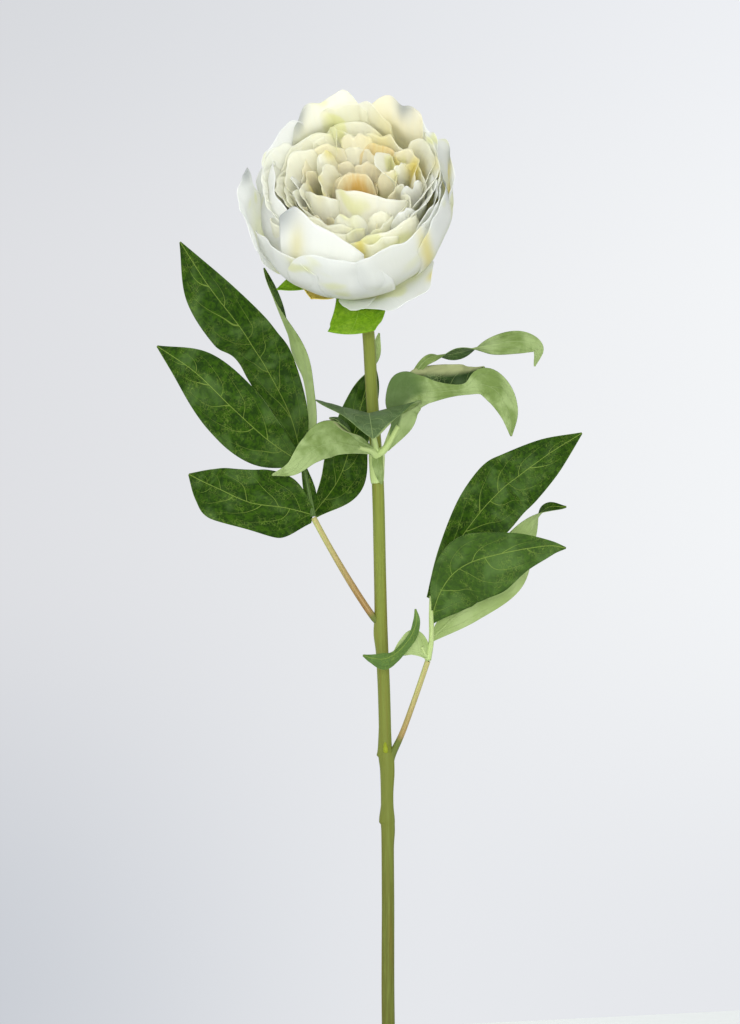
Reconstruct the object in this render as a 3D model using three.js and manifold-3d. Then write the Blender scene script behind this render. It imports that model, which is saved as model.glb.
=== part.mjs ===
// A white double peony on a long leafy stem, standing in a plain bud vase that holds some water.
// Millimetres, +Z up. The origin is the middle of the vase's foot. The flower faces -Y, and +X is to its right
// as a viewer in front sees it.
import * as THREE from "three";
import { mergeVertices } from "three/addons/utils/BufferGeometryUtils.js";
import Module from "manifold-3d";

const wasm = await Module();
wasm.setup();

// Driving dimensions
const CLEARANCE = 0.35; // between pieces that touch
const LEAF_THICKNESS = 0.8;
const PETAL_THICKNESS = 0.7;
const RIB_HEIGHT = 0.7; // how far the midrib stands out under a leaf at its base
const LARGEST_SCRAP = 3; // cubic millimetres

const VASE = { height: 200, foot: 36, belly: 43, neck: 11.6, lip: 14.2, wall: 4.2, floor: 8, throat: 8.2 };
const VASE_SEGMENTS = 26;
const WATER_LEVEL = 118;

const STEM_SIDES = 10;
const PETIOLE_SIDES = 8;
// Stations of the stem from its cut end to the flower: x, y, z and radius
const STEM_STATIONS = [
  [4, -1, 8.6, 3.6],
  [-0.2, -0.5, 105, 3.7],
  [-4.3, 0, 200, 3.7],
  [-4.6, 2, 279, 3.6],
  [-4.8, 3, 316, 3.6],
  [-4.9, 3, 325, 4.1],
  [-5, 3.3, 334, 3.6],
  [-5.3, 3.8, 352, 3.7],
  [-5.7, 4, 361, 4.3],
  [-6, 4.3, 368, 3.6],
  [-6.8, 5, 399, 3.5],
  [-8.3, 7, 433, 3.6],
  [-9.1, 9, 467, 3.5],
  [-10.4, 12, 519, 3.5],
  [-13.6, 15, 565, 3.5],
  [-15.3, 18, 597, 3.5],
  [-17.2, 23, 619, 3.4],
  [-18.6, 28, 634, 3.4],
  [-19.5, 32, 644.5, 3.5],
  [-19.9, 31.6, 653.4, 3.7],
];

// The flower's own frame: its root on the stem, and the way that it faces
const FLOWER_ROOT = new THREE.Vector3(-21.2, 24, 657);
const FLOWER_AXIS = new THREE.Vector3(-0.13, -0.86, 0.49).normalize();
const FLOWER_SEGMENTS = 14;
const RUFFLE_SEED = 7;

// Petals that show from outside, each with its azimuth counted from the right, half its width, its widest radius,
// its tip's radius and height, how much higher its one corner stands than the other, and its rim's frill.
const OUTER_PETALS = [
  // Low ones that spread under the bowl
  { azimuth: 272, half: 13, belly: 54, tip: 61, tall: 19, skew: 0, frill: 1 },
  { azimuth: 302, half: 25, belly: 54, tip: 60, tall: 23, skew: 2, frill: 1.5 },
  // Behind, lower than the rest
  { azimuth: 46, half: 32, belly: 55, tip: 54, tall: 52, skew: 2, frill: 2 },
  { azimuth: 90, half: 33, belly: 55, tip: 54, tall: 54, skew: -2, frill: 2 },
  { azimuth: 132, half: 33, belly: 56, tip: 54, tall: 50, skew: 2, frill: 2 },
  // The bowl's front and its sides
  { azimuth: 262, half: 38, belly: 57, tip: 55, tall: 67, skew: -9, frill: 1.5 },
  { azimuth: 191, half: 26, belly: 58, tip: 59, tall: 61, skew: -6, frill: 1.5 },
  { azimuth: 237, half: 34, belly: 54, tip: 45, tall: 76, skew: -7, frill: 1.5 },
  { azimuth: 308, half: 29, belly: 56, tip: 54, tall: 65, skew: -4, frill: 1.5 },
  { azimuth: 343, half: 25, belly: 57, tip: 57, tall: 60, skew: 3, frill: 2 },
  { azimuth: 16, half: 21, belly: 57, tip: 60, tall: 65, skew: 0, frill: 1.5 },
  // Those that stand tall round the mouth
  { azimuth: 31, half: 19, belly: 52, tip: 55, tall: 69, skew: 0, frill: 1.5 },
  { azimuth: 60, half: 23, belly: 50, tip: 54, tall: 73, skew: -3, frill: 2 },
  { azimuth: 86, half: 21, belly: 48, tip: 47, tall: 71, skew: 0, frill: 2 },
  { azimuth: 107, half: 24, belly: 49, tip: 50, tall: 74, skew: -3, frill: 2 },
  { azimuth: 158, half: 26, belly: 49, tip: 46, tall: 71, skew: -5, frill: 2 },
];
// Rings of petals inside them, which fill the mouth and leave a hollow in its middle
const INNER_RINGS = [
  { count: 8, first: 252, half: 21, belly: 42, tip: 39, tall: 68, notch: 0.14, cells: [3, 4] },
  { count: 7, first: 280, half: 17, belly: 33, tip: 30, tall: 67, notch: 0.2, cells: [3, 3] },
  { count: 6, first: 275, half: 13, belly: 24, tip: 21, tall: 65, notch: 0.25, cells: [3, 3] },
  { count: 5, first: 305, half: 10, belly: 14, tip: 10, tall: 60, notch: 0.15, cells: [3, 3] },
];
const RING_STEP = 2; // every other petal of a ring stands this far outside its neighbours
const OUTER_CELLS = [4, 5];
// The heel in which every petal is rooted, as radius and height along the flower's axis
const HEEL_PROFILE = [[0, -1.1], [9.5, -1.1], [19, 2], [29, 6], [31, 10], [26, 18], [14, 24], [0, 26]];

const CALYX_PROFILE = [[0, -10], [4.4, -10], [5.2, -7.4], [8.2, -4.6], [11.2, -3], [11.6, -1.6], [0, -1.5]];
// Sepals: azimuth, reach, half width, how high the tip stands, how hard it hugs the petals, and how far its tip
// swings sideways
const SEPALS = [
  { azimuth: 281, reach: 67, half: 17, rise: 8, hug: 0, swing: -21, blunt: 12 },
  { azimuth: 247, reach: 48, half: 9, rise: 4, hug: 0.5, swing: -2, blunt: 4 },
  { azimuth: 224, reach: 58, half: 10, rise: 3, hug: 0.5, swing: 4, blunt: 4 },
  { azimuth: 330, reach: 42, half: 12, rise: 1, hug: 0.7, swing: 2, blunt: 4 },
  { azimuth: 30, reach: 44, half: 13, rise: 1, hug: 0.7, swing: 3, blunt: 5 },
  { azimuth: 96, reach: 46, half: 13, rise: 1, hug: 0.7, swing: -3, blunt: 5 },
  { azimuth: 160, reach: 44, half: 12, rise: 1, hug: 0.7, swing: 2, blunt: 4 },
];

// Leaflets. A station of the midrib is x, y, z, the half widths to its left and right as it runs to the tip,
// and how far the blade is turned about it: 0 shows its upper face to a viewer who looks along seen, which is
// +Y unless a leaflet says otherwise, and 180 its underside. A seventh number is how far its halves are folded
// up there, in place of the leaflet's own fold.
const LEFT_LEAF = {
  petiole: [
    [-8.3, 7, 437, 2.3], [-13, 7, 440.4, 2], [-25.2, 8, 458.7, 1.9], [-37.8, 10, 479.9, 1.7], [-47.3, 12, 497.2, 1.7],
  ],
  stalks: [[[-47.6, 12, 498, 1.9], [-50.4, 13, 513, 1.4], [-53.4, 14, 530, 1.2]]],
  blades: [
    {
      fold: 10,
      wave: 0.9,
      stations: [
        [-47.7, 12, 499, 3, 3, 0], [-63.6, 6, 503, 15.5, 18, 4], [-83.4, 0, 506, 15, 20, 2],
        [-101, -5.5, 508.5, 12, 19, 0], [-112, -9.5, 513.5, 5, 14, 0], [-117.8, -12, 522, 0.5, 0.5, 0],
      ],
    },
    {
      fold: 12,
      wave: 1.2,
      stations: [
        [-53.2, 13.9, 528, 2, 2, 0], [-73.3, 4, 541.8, 17, 11.5, -6], [-93.5, -4, 560, 19, 17, 0],
        [-114.3, -10, 580, 13, 14, 4], [-135.5, -16, 594.6, 0.5, 0.5, 0],
      ],
    },
    {
      fold: 14,
      wave: 1.2,
      stations: [
        [-53.3, 13.9, 528.5, 2, 2, 0], [-61.1, 20, 556.6, 11, 11, 10], [-74.2, 22, 582.5, 13, 17, 6],
        [-82.3, 22, 595.5, 12.5, 17, 0], [-90.4, 22, 608, 18.5, 15.5, -8], [-108.4, 20, 631.5, 15.5, 10, -4],
        [-124.2, 14, 656, 0.5, 0.5, 0],
      ],
    },
    {
      fold: 18,
      wave: 0.8,
      stations: [
        [-53.1, 13.8, 527.5, 2, 2, 100], [-50.2, 25, 551, 9, 8, 108], [-52.6, 35, 575, 12, 12, 106],
        [-60.4, 41, 599, 12, 12, 108], [-70.3, 45, 623.4, 9, 9, 64], [-76.9, 46, 643.4, 0.5, 0.5, 30],
      ],
    },
    {
      fold: 16,
      wave: 1.4,
      stations: [
        [-47.7, 12.1, 499, 2, 2, 0], [-33.4, 27, 519, 12, 11, 10], [-25.3, 34, 542.5, 14, 12, 14],
        [-17.8, 35, 571.5, 9, 10, 10], [-9.5, 31, 604.5, 0.5, 0.5, 40],
      ],
    },
    {
      fold: 4,
      wave: 0,
      stations: [[-47.9, 12.6, 501, 1.5, 1.5, 0], [-49.4, 13, 512, 3, 5, 20], [-53.1, 13.8, 527, 1.5, 1.5, 0]],
    },
  ],
};

const UPPER_LEAF = {
  sheath: [[-10.2, 12, 516, 4.6], [-10.5, 12, 524, 5.1], [-10.9, 11.4, 533, 5.2], [-11.3, 9.6, 537, 3.4]],
  stalks: [
    [[-11.2, 8.2, 533, 2.6], [-12.4, 5.4, 541, 1.8], [-13.6, 1, 550, 1.3]],
    [[-10.6, 8.4, 533, 2.6], [-5.4, 5, 538, 2], [1.4, -0.6, 550, 1.4]],
    [[-11, 8, 533, 2.6], [-15, 3, 536, 1.9], [-25, -5, 538, 1.3]],
    [[-5.4, 5.4, 538, 2], [1.8, 5.4, 559, 1.3], [9.2, 3, 579, 1.1]],
  ],
  blades: [
    {
      fold: 13,
      wave: 0.8,
      seen: [0, 0.3, -1],
      stations: [
        [-12.7, 4.4, 543, 1.5, 1.5, 0], [-14.4, -3, 553, 15, 15, 0], [-15.4, -13, 556.6, 30, 31, 0],
        [-15, -26, 554.4, 22, 21, 0], [-14.2, -38, 548.6, 11, 11, 0], [-13.2, -48, 541.5, 0.5, 0.5, 0],
      ],
    },
    {
      fold: 0,
      wave: 0.6,
      stations: [
        [-4.5, 5.6, 536.1, 2, 2, 180, -10], [2.3, -1, 554.3, 6, 14, 186, -8],
        [9.6, -5, 561, 6.5, 19, 192, 0], [19.3, -9, 563.7, 9, 16, 235, 25],
        [27.7, -12, 566.2, 17, 12, 268, 35], [37.3, -14, 568.9, 20, 12, 290, 35],
        [47.5, -16, 571.4, 16, 15, 250, 10], [55.9, -17, 564, 8, 15, 200, -10],
        [62.1, -18, 552.1, 4.5, 6.5, 184, -12], [64.4, -18, 543, 0.5, 0.5, 180, -10],
      ],
    },
    {
      fold: 10,
      wave: 0.8,
      stations: [
        [8.6, 3.4, 577, 1.6, 1.6, 180], [18.4, 4, 588, 3, 3, 150], [33.9, 8, 591.6, 5, 5, 60],
        [54.1, 12, 596.6, 7, 6.6, 130], [71.5, 14, 598.6, 7, 6.6, 170], [81.6, 12, 594.6, 3.5, 3.5, 180],
        [79.6, 8, 584.2, 0.5, 0.5, 180],
      ],
    },
    {
      fold: -14,
      wave: 0.6,
      stations: [
        [-13.5, 4.4, 535.4, 2, 2, 180], [-25.1, -6, 538.2, 6, 4.5, 176], [-37.6, -10, 540, 13.5, 8.5, 172],
        [-48.4, -12, 534.6, 9, 7, 180], [-59.1, -12, 525.6, 4, 4.5, 180], [-70.6, -10, 521.6, 0.5, 0.5, 180],
      ],
    },
  ],
};

const RIGHT_LEAF = {
  petiole: [
    [-6, 4.2, 352, 2.3], [-2.6, 3.6, 361, 2.1], [3.5, 1, 374, 1.7], [10, -3, 392, 1.6], [18, -8, 415.8, 1.6],
  ],
  stalks: [
    [[18.1, -8, 416.4, 1.9], [20, -9.4, 427.8, 1.5], [20, -10.4, 442, 1.4], [20.2, -10.8, 453, 1.3]],
    [[18.1, -8, 416.4, 1.5], [16.4, -9.4, 419.4, 1.2], [14.6, -11, 424, 1]],
  ],
  blades: [
    {
      fold: 8,
      wave: 0.8,
      stations: [
        [19.8, -10.2, 437, 0.8, 0.8, 0], [22.1, -12, 447.2, 2.2, 13, 0], [26, -15, 456.9, 7.5, 19.5, 0],
        [32.7, -19, 466.1, 12.5, 21.5, 0], [42.7, -24, 472.4, 16, 22.5, 0], [56.6, -28, 476.6, 13, 21, 0],
        [72.3, -30, 479.8, 8.7, 12, 0], [86.4, -29, 481.6, 3, 6, 0], [95.6, -26, 480.3, 0.5, 0.5, 0],
      ],
    },
    {
      fold: 14,
      wave: 1.4,
      stations: [
        [20, -9.6, 451, 3, 3, 0], [30.8, -4, 476, 7.5, 14, 4], [46.9, 0, 499, 16, 19, 8],
        [68.2, 2, 520, 17.5, 18, -4], [88.1, 1, 534.3, 11, 10, -6], [106, -4, 545.6, 0.5, 0.5, 0],
      ],
    },
    {
      fold: 14,
      wave: 1,
      stations: [
        [20, -8.6, 428.5, 2, 2, 180], [41.3, 6, 447, 8.5, 11, 176], [61.1, 14, 466, 14.5, 13, 172],
        [77.4, 18, 485, 6.5, 9, 180], [88, 18, 499, 3, 7, 214], [98.2, 14, 504.6, 0.5, 0.5, 240],
      ],
    },
    {
      fold: 20,
      wave: 0.4,
      stations: [
        [17.6, -9.2, 418, 2, 2, 180], [13.6, -12, 424, 5, 4.6, 180], [10.6, -13.5, 432, 4.4, 5, 206],
        [9.8, -14, 440, 3.4, 3.4, 300], [12, -14, 447, 0.5, 0.5, 340],
      ],
    },
    {
      fold: 14,
      wave: 0.4,
      stations: [
        [16.4, -9.8, 419.5, 1.4, 1.4, 180], [8, -13.4, 423, 5, 5, 200], [0, -16.4, 420.6, 5, 5, 320],
        [-9, -18, 417, 4, 4, 350], [-18.6, -17, 419, 0.5, 0.5, 360],
      ],
    },
  ],
};

const COLOURS = {
  glaze: { color: "#ecebe6", roughness: 0.3 },
  water: { color: "#b9c8c4", roughness: 0.1, transparent: true, opacity: 0.5 },
  stem: { color: "#7c8a3a", roughness: 0.55 },
  petiole: { color: "#b59a63", roughness: 0.6 },
  leaf: { color: "#37602a", roughness: 0.6 },
  upperLeaf: { color: "#7f9a5c", roughness: 0.65 },
  calyx: { color: "#7fa626", roughness: 0.6 },
  petals: { color: "#f4f2e6", roughness: 0.7 },
};

// Repeatable random numbers from -1 to 1.
function dice(seed) {
  let state = seed;
  return () => {
    state = (state * 16807) % 2147483647;
    return (state / 2147483647) * 2 - 1;
  };
}

function rad(degrees) {
  return THREE.MathUtils.degToRad(degrees);
}

// A smooth run of values through evenly spaced stations: read(t) for t from 0 to 1.
function smooth(stations) {
  const rows = stations.map((s) => [...s]);
  const last = rows.length - 1;
  const beyond = (a, b) => a.map((value, i) => 2 * value - b[i]);
  const row = (i) => {
    if (i < 0) return beyond(rows[0], rows[1]);
    if (i > last) return beyond(rows[last], rows[last - 1]);
    return rows[i];
  };
  return (t) => {
    const place = Math.min(Math.max(t, 0), 1) * last;
    const i = Math.min(Math.floor(place), last - 1);
    const f = place - i;
    const [a, b, c, d] = [row(i - 1), row(i), row(i + 1), row(i + 2)];
    return b.map((value, k) => {
      const m0 = (c[k] - a[k]) / 2;
      const m1 = (d[k] - value) / 2;
      const rise = c[k] - value;
      return value + f * (m0 + f * (3 * rise - 2 * m0 - m1 + f * (m0 + m1 - 2 * rise)));
    });
  };
}

// A closed body from rings of points, each with the same count, the first and last ring capped to their middle.
function skinOfRings(rings) {
  const sides = rings[0].length;
  const points = rings.flat();
  const faces = [];
  for (let r = 0; r + 1 < rings.length; r++)
    for (let s = 0; s < sides; s++) {
      const a = r * sides + s;
      const b = r * sides + ((s + 1) % sides);
      faces.push([a, b, b + sides], [a, b + sides, a + sides]);
    }
  const middle = (ring) => ring.reduce((sum, p) => sum.add(p), new THREE.Vector3()).divideScalar(sides);
  const foot = points.push(middle(rings[0])) - 1;
  const head = points.push(middle(rings.at(-1))) - 1;
  const top = (rings.length - 1) * sides;
  for (let s = 0; s < sides; s++) {
    faces.push([foot, (s + 1) % sides, s]);
    faces.push([head, top + s, top + ((s + 1) % sides)]);
  }
  return solidOf(points, faces);
}

function solidOf(points, faces) {
  const vertProperties = new Float32Array(points.flatMap((p) => [p.x, p.y, p.z]));
  const solid = new wasm.Manifold(
    new wasm.Mesh({ numProp: 3, vertProperties, triVerts: new Uint32Array(faces.flat()) }),
  );
  if (solid.volume() > 0) return solid;
  return solidOf(points, faces.map(([a, b, c]) => [a, c, b]));
}

// A solid from one of three.js's closed geometries.
function solidOfGeometry(geometry) {
  geometry.deleteAttribute("normal");
  geometry.deleteAttribute("uv");
  const merged = mergeVertices(geometry, 1e-4);
  const at = merged.getAttribute("position");
  const points = Array.from({ length: at.count }, (_, i) => new THREE.Vector3().fromBufferAttribute(at, i));
  const index = Array.from(merged.index.array);
  const faces = [];
  for (let i = 0; i < index.length; i += 3) faces.push(index.slice(i, i + 3));
  return solidOf(points, faces);
}

// A round body turned about +Z from a profile of radius and height.
function turned(profile, segments) {
  const points = profile.map(([r, z]) => new THREE.Vector2(r, z));
  return solidOfGeometry(new THREE.LatheGeometry(points, segments).rotateX(Math.PI / 2));
}

// A round stalk through stations of x, y, z and radius, grown by extra all round and at its ends.
function stalk(stations, sides, steps, extra = 0) {
  const read = smooth(stations);
  const at = (t) => new THREE.Vector3(...read(t).slice(0, 3));
  let side = new THREE.Vector3(1, 0, 0);
  const rings = [];
  for (let i = 0; i <= steps; i++) {
    const t = i / steps;
    const middle = at(t);
    const along = at(Math.min(t + 0.01, 1)).sub(at(Math.max(t - 0.01, 0))).normalize();
    side = side.addScaledVector(along, -side.dot(along)).normalize();
    const across = new THREE.Vector3().crossVectors(along, side);
    const radius = read(t)[3] + extra;
    if (i === 0) middle.addScaledVector(along, -extra);
    if (i === steps) middle.addScaledVector(along, extra);
    rings.push(
      Array.from({ length: sides }, (_, s) => {
        const turn = (2 * Math.PI * s) / sides;
        return middle
          .clone()
          .addScaledVector(side, radius * Math.cos(turn))
          .addScaledVector(across, radius * Math.sin(turn));
      }),
    );
  }
  return skinOfRings(rings);
}

// A thin closed sheet: place(u, v) gives its middle for u from -1 to 1 across and v from 0 to 1 along, and
// under(u, v) how much thicker it is below. Both faces are split alike.
function sheet(place, columns, rows, thickness, under = () => 0) {
  const step = 1e-3;
  const top = [];
  const bottom = [];
  for (let j = 0; j <= rows; j++)
    for (let i = 0; i <= columns; i++) {
      const u = (2 * i) / columns - 1;
      const v = j / rows;
      const across = place(Math.min(u + step, 1), v).sub(place(Math.max(u - step, -1), v));
      const along = place(u, Math.min(v + step, 1)).sub(place(u, Math.max(v - step, 0)));
      const up = across.cross(along).normalize();
      const middle = place(u, v);
      top.push(middle.clone().addScaledVector(up, thickness / 2));
      bottom.push(middle.clone().addScaledVector(up, -thickness / 2 - under(u, v)));
    }
  const wide = columns + 1;
  const count = top.length;
  const faces = [];
  for (let j = 0; j < rows; j++)
    for (let i = 0; i < columns; i++) {
      const [a, b, c, d] = [j * wide + i, j * wide + i + 1, (j + 1) * wide + i + 1, (j + 1) * wide + i];
      faces.push([a, b, c], [a, c, d], [a + count, c + count, b + count], [a + count, d + count, c + count]);
    }
  const rim = [];
  for (let i = 0; i < columns; i++) rim.push(i);
  for (let j = 0; j < rows; j++) rim.push(j * wide + columns);
  for (let i = columns; i > 0; i--) rim.push(rows * wide + i);
  for (let j = rows; j > 0; j--) rim.push(j * wide);
  rim.forEach((a, k) => {
    const b = rim[(k + 1) % rim.length];
    faces.push([a, a + count, b + count], [a, b + count, b]);
  });
  return solidOf([...top, ...bottom], faces);
}

// Where a leaflet's blade lies, from its stations, the fold of its halves and the wave of its edges.
function bladePlace({ stations, fold, wave, seen = [0, 1, 0] }) {
  const read = smooth(stations.map((s) => (s.length > 6 ? s : [...s, fold])));
  const view = new THREE.Vector3(...seen);
  const at = (t) => new THREE.Vector3(...read(t).slice(0, 3));
  const waves = 2.5;
  return (u, v) => {
    const [, , , left, right, turn, bend] = read(v);
    const along = at(Math.min(v + 0.02, 1)).sub(at(Math.max(v - 0.02, 0))).normalize();
    const flat = new THREE.Vector3().crossVectors(along, view).normalize();
    const across = flat.clone().applyAxisAngle(along, rad(turn));
    const up = new THREE.Vector3().crossVectors(along, across);
    const half = Math.max(u > 0 ? left : right, 0.4);
    const out = Math.abs(u) * half;
    const ripple = wave * u * u * Math.sin(2 * Math.PI * waves * v + (u > 0 ? 0 : 2)) * Math.sin(Math.PI * v);
    return at(v)
      .addScaledVector(across, Math.sign(u) * out * Math.cos(rad(bend)))
      .addScaledVector(up, out * Math.sin(rad(bend)) + ripple);
  };
}

function blade(leaflet) {
  const rows = Math.ceil(1.5 * leaflet.stations.length);
  const ridge = (u, v) => (Math.abs(u) < 0.1 ? RIB_HEIGHT * (1 - v) : 0);
  return sheet(bladePlace(leaflet), 4, rows, LEAF_THICKNESS, ridge);
}

// Joins solids, fills any hollow that this seals, and drops any scrap that comes loose.
function fuse(solids) {
  const pieces = solids.reduce((sum, s) => sum.add(s)).decompose();
  pieces.sort((a, b) => b.volume() - a.volume());
  if (pieces.length > 1 && pieces[1].volume() > LARGEST_SCRAP) throw new Error("a blade isn't rooted");
  return pieces[0];
}

function meshOf(name, solid, look) {
  const made = solid.getMesh();
  const geometry = new THREE.BufferGeometry()
    .setAttribute("position", new THREE.BufferAttribute(new Float32Array(made.vertProperties), 3))
    .setIndex(new THREE.BufferAttribute(new Uint32Array(made.triVerts), 1));
  geometry.computeVertexNormals();
  const mesh = new THREE.Mesh(geometry, new THREE.MeshStandardMaterial({ metalness: 0, ...look }));
  mesh.name = name;
  return mesh;
}

// The vase
const INNER_BELLY = VASE.belly - VASE.wall;
const OUTSIDE = [
  [VASE.foot - 2, 0], [VASE.foot, 1.6], [VASE.belly - 2, 22], [VASE.belly, 44], [VASE.belly - 4, 68],
  [VASE.belly - 14, 90], [VASE.neck + 9, 112], [VASE.neck + 3, 134], [VASE.neck, 160],
  [VASE.neck + 0.4, 182], [VASE.lip - 0.4, VASE.height - 4], [VASE.lip, VASE.height - 1.6],
  [VASE.lip - 1, VASE.height],
];
const INSIDE = [
  [VASE.throat + 2.6, VASE.height], [VASE.throat + 0.6, VASE.height - 4], [VASE.throat, 184], [VASE.throat + 0.2, 160],
  [VASE.throat + 2, 136], [VASE.throat + 7, 114], [INNER_BELLY - 13, 90], [INNER_BELLY - 4, 68],
  [INNER_BELLY, 46], [INNER_BELLY - 2, 24], [VASE.foot - 10, VASE.floor + 2], [VASE.foot - 16, VASE.floor],
];

function vase() {
  return turned([[0, 0], ...OUTSIDE, ...INSIDE, [0, VASE.floor]], VASE_SEGMENTS);
}

// Water up to its level, a hair inside the vase's wall, with a plain hole for the stem.
function water(stemHole) {
  const under = INSIDE.filter(([, z]) => z < WATER_LEVEL && z > VASE.floor + 3);
  const wall = under.map(([r, z]) => [r - 1.2 * CLEARANCE, z]);
  const low = [VASE.foot - 16, VASE.floor + CLEARANCE];
  const profile = [[0, WATER_LEVEL], [wall[0][0] - 1, WATER_LEVEL], ...wall, low, [0, low[1]]];
  return turned(profile, VASE_SEGMENTS).subtract(stemHole);
}

// Flower: points in its own frame
const FLOWER_UP = new THREE.Vector3(0, 0, 1).addScaledVector(FLOWER_AXIS, -FLOWER_AXIS.z).normalize();
const FLOWER_RIGHT = new THREE.Vector3().crossVectors(FLOWER_UP, FLOWER_AXIS);
const FLOWER_FRAME = new THREE.Matrix4()
  .makeBasis(FLOWER_RIGHT, FLOWER_UP, FLOWER_AXIS)
  .setPosition(FLOWER_ROOT);

// A point out from the flower's axis by out along an azimuth, to that azimuth's left by side, at a height.
function inFlower(out, side, azimuth, height) {
  const [c, s] = [Math.cos(azimuth), Math.sin(azimuth)];
  return new THREE.Vector3(out * c - side * s, out * s + side * c, height).applyMatrix4(FLOWER_FRAME);
}

function toFlower(solid) {
  return solid.transform(FLOWER_FRAME.elements);
}

// Where a petal lies. Its middle runs out from the heel, up round the bowl and on to the tip, it widens towards
// a rounded, cleft and frilled rim, and one side of it lies over and one under its neighbours.
function petalPlace({ azimuth, half, belly, tip, tall, skew, frill, notch }, roll) {
  const read = smooth([
    [5, 0],
    [0.5 * belly, 0.04 * tall],
    [0.84 * belly, 0.2 * tall],
    [belly, 0.5 * tall],
    [belly + 0.5 * (tip - belly), 0.77 * tall],
    [tip, tall],
  ]);
  const phase = 3 * roll();
  const waves = 2.2 + 0.5 * roll();
  const shift = 0.15 * roll();
  const heading = rad(azimuth);
  return (u, v) => {
    const corner = 0.16 * Math.abs(u) ** 2.6;
    const cleft = notch * Math.exp(-(((u - shift) / 0.22) ** 2));
    const t = v * (1 - (corner + cleft) * v);
    const [r, z] = read(t);
    const wide = half * (0.16 + 0.84 * Math.sin((Math.PI / 2) * Math.min(1, t / 0.6)));
    const bend = Math.max(r, 0.7 * half);
    const turn = (u * wide) / bend;
    const rim = t * t * (0.35 + 0.65 * Math.abs(u));
    const ripple = frill * rim * Math.sin(waves * Math.PI * u + phase);
    const overlap = 1.1 * u * Math.min(1, 4 * t);
    const out = r - bend + (bend + overlap + ripple) * Math.cos(turn);
    const side = (bend + overlap + ripple) * Math.sin(turn);
    return inFlower(out, side, heading, z + skew * u * t * t + 0.4 * ripple * v);
  };
}

function petals() {
  const roll = dice(RUFFLE_SEED);
  const solids = [toFlower(turned(HEEL_PROFILE, FLOWER_SEGMENTS))];
  for (const petal of OUTER_PETALS)
    solids.push(sheet(petalPlace({ notch: 0.05, ...petal }, roll), ...OUTER_CELLS, PETAL_THICKNESS));
  for (const ring of INNER_RINGS)
    for (let i = 0; i < ring.count; i++) {
      const azimuth = ring.first + (360 * i) / ring.count + 5 * roll();
      const step = i % 2 ? RING_STEP : 0;
      const petal = { ...ring, azimuth, skew: 2 * roll(), frill: 1.8, tall: ring.tall + 2 * roll() };
      petal.belly += step;
      petal.tip += step;
      solids.push(sheet(petalPlace(petal, roll), ...ring.cells, PETAL_THICKNESS));
    }
  return fuse(solids);
}

// A sepal starts in the calyx and runs out under the petals.
function sepalPlace({ azimuth, reach, half, rise, hug, swing, blunt }) {
  const root = 8;
  const curve = 0.0045; // how fast the backs of the petals rise from the calyx
  return (u, v) => {
    const radius = root + (reach - root) * v;
    const height = -3.4 + hug * curve * (radius - root) ** 2 + rise * v * v;
    const wide = half * Math.sin((Math.PI / 2) * Math.min(1, 0.25 + 1.5 * v)) * Math.max(1 - v ** blunt, 0.03);
    const turn = (u * wide) / Math.max(radius, 10);
    const heading = rad(azimuth + swing * v ** 3);
    return inFlower(radius * Math.cos(turn), radius * Math.sin(turn), heading, height + 0.05 * half * u * u);
  };
}

function calyx() {
  const cup = toFlower(turned(CALYX_PROFILE, FLOWER_SEGMENTS));
  const whole = fuse([cup, ...SEPALS.map((s) => sheet(sepalPlace(s), 3, 5, LEAF_THICKNESS))]);
  return fuse([whole.subtract(stemRoom)]);
}

// A leaf's blades and stalks as one body
function leaf({ stalks, blades }) {
  const steps = 6;
  return fuse([...stalks.map((s) => stalk(s, PETIOLE_SIDES, steps)), ...blades.map(blade)]);
}

const STEM_STEPS = 42;
const stem = stalk(STEM_STATIONS, STEM_SIDES, STEM_STEPS);
const stemRoom = stalk(STEM_STATIONS, STEM_SIDES, STEM_STEPS, CLEARANCE);
const leftPetiole = stalk(LEFT_LEAF.petiole, PETIOLE_SIDES, 10).subtract(stemRoom);
const leftRoom = stalk(LEFT_LEAF.petiole, PETIOLE_SIDES, 10, CLEARANCE);
const rightPetiole = stalk(RIGHT_LEAF.petiole, PETIOLE_SIDES, 10).subtract(stemRoom);
const rightRoom = stalk(RIGHT_LEAF.petiole, PETIOLE_SIDES, 10, CLEARANCE);
const sheath = stalk(UPPER_LEAF.sheath, STEM_SIDES, 6);
const upperLeaf = fuse([fuse([sheath, leaf(UPPER_LEAF)]).subtract(stemRoom)]);

const peony = new THREE.Group();
peony.add(
  meshOf("vase", vase(), COLOURS.glaze),
  meshOf("water", water(stemRoom), COLOURS.water),
  meshOf("stem", stem, COLOURS.stem),
  meshOf("petiole_left", fuse([leftPetiole]), COLOURS.petiole),
  meshOf("leaf_left", fuse([leaf(LEFT_LEAF).subtract(leftRoom)]), COLOURS.leaf),
  meshOf("petiole_right", fuse([rightPetiole]), COLOURS.petiole),
  meshOf("leaf_right", fuse([leaf(RIGHT_LEAF).subtract(rightRoom)]), COLOURS.leaf),
  meshOf("leaf_upper", upperLeaf, COLOURS.upperLeaf),
  meshOf("calyx", calyx(), COLOURS.calyx),
  meshOf("petals", petals(), COLOURS.petals),
);

export default peony;
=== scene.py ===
"""The looks of a white double peony on a long leafy stem that stands in a bud vase.

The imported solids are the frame. Each sub-assembly below builds its own fine meshes in that frame, in
millimetres, and gives them the finish that the real piece has.
"""

import logging
import math
from dataclasses import dataclass, field, replace
from enum import Enum, IntEnum
from itertools import chain
from typing import Iterator, Sequence, Union

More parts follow.
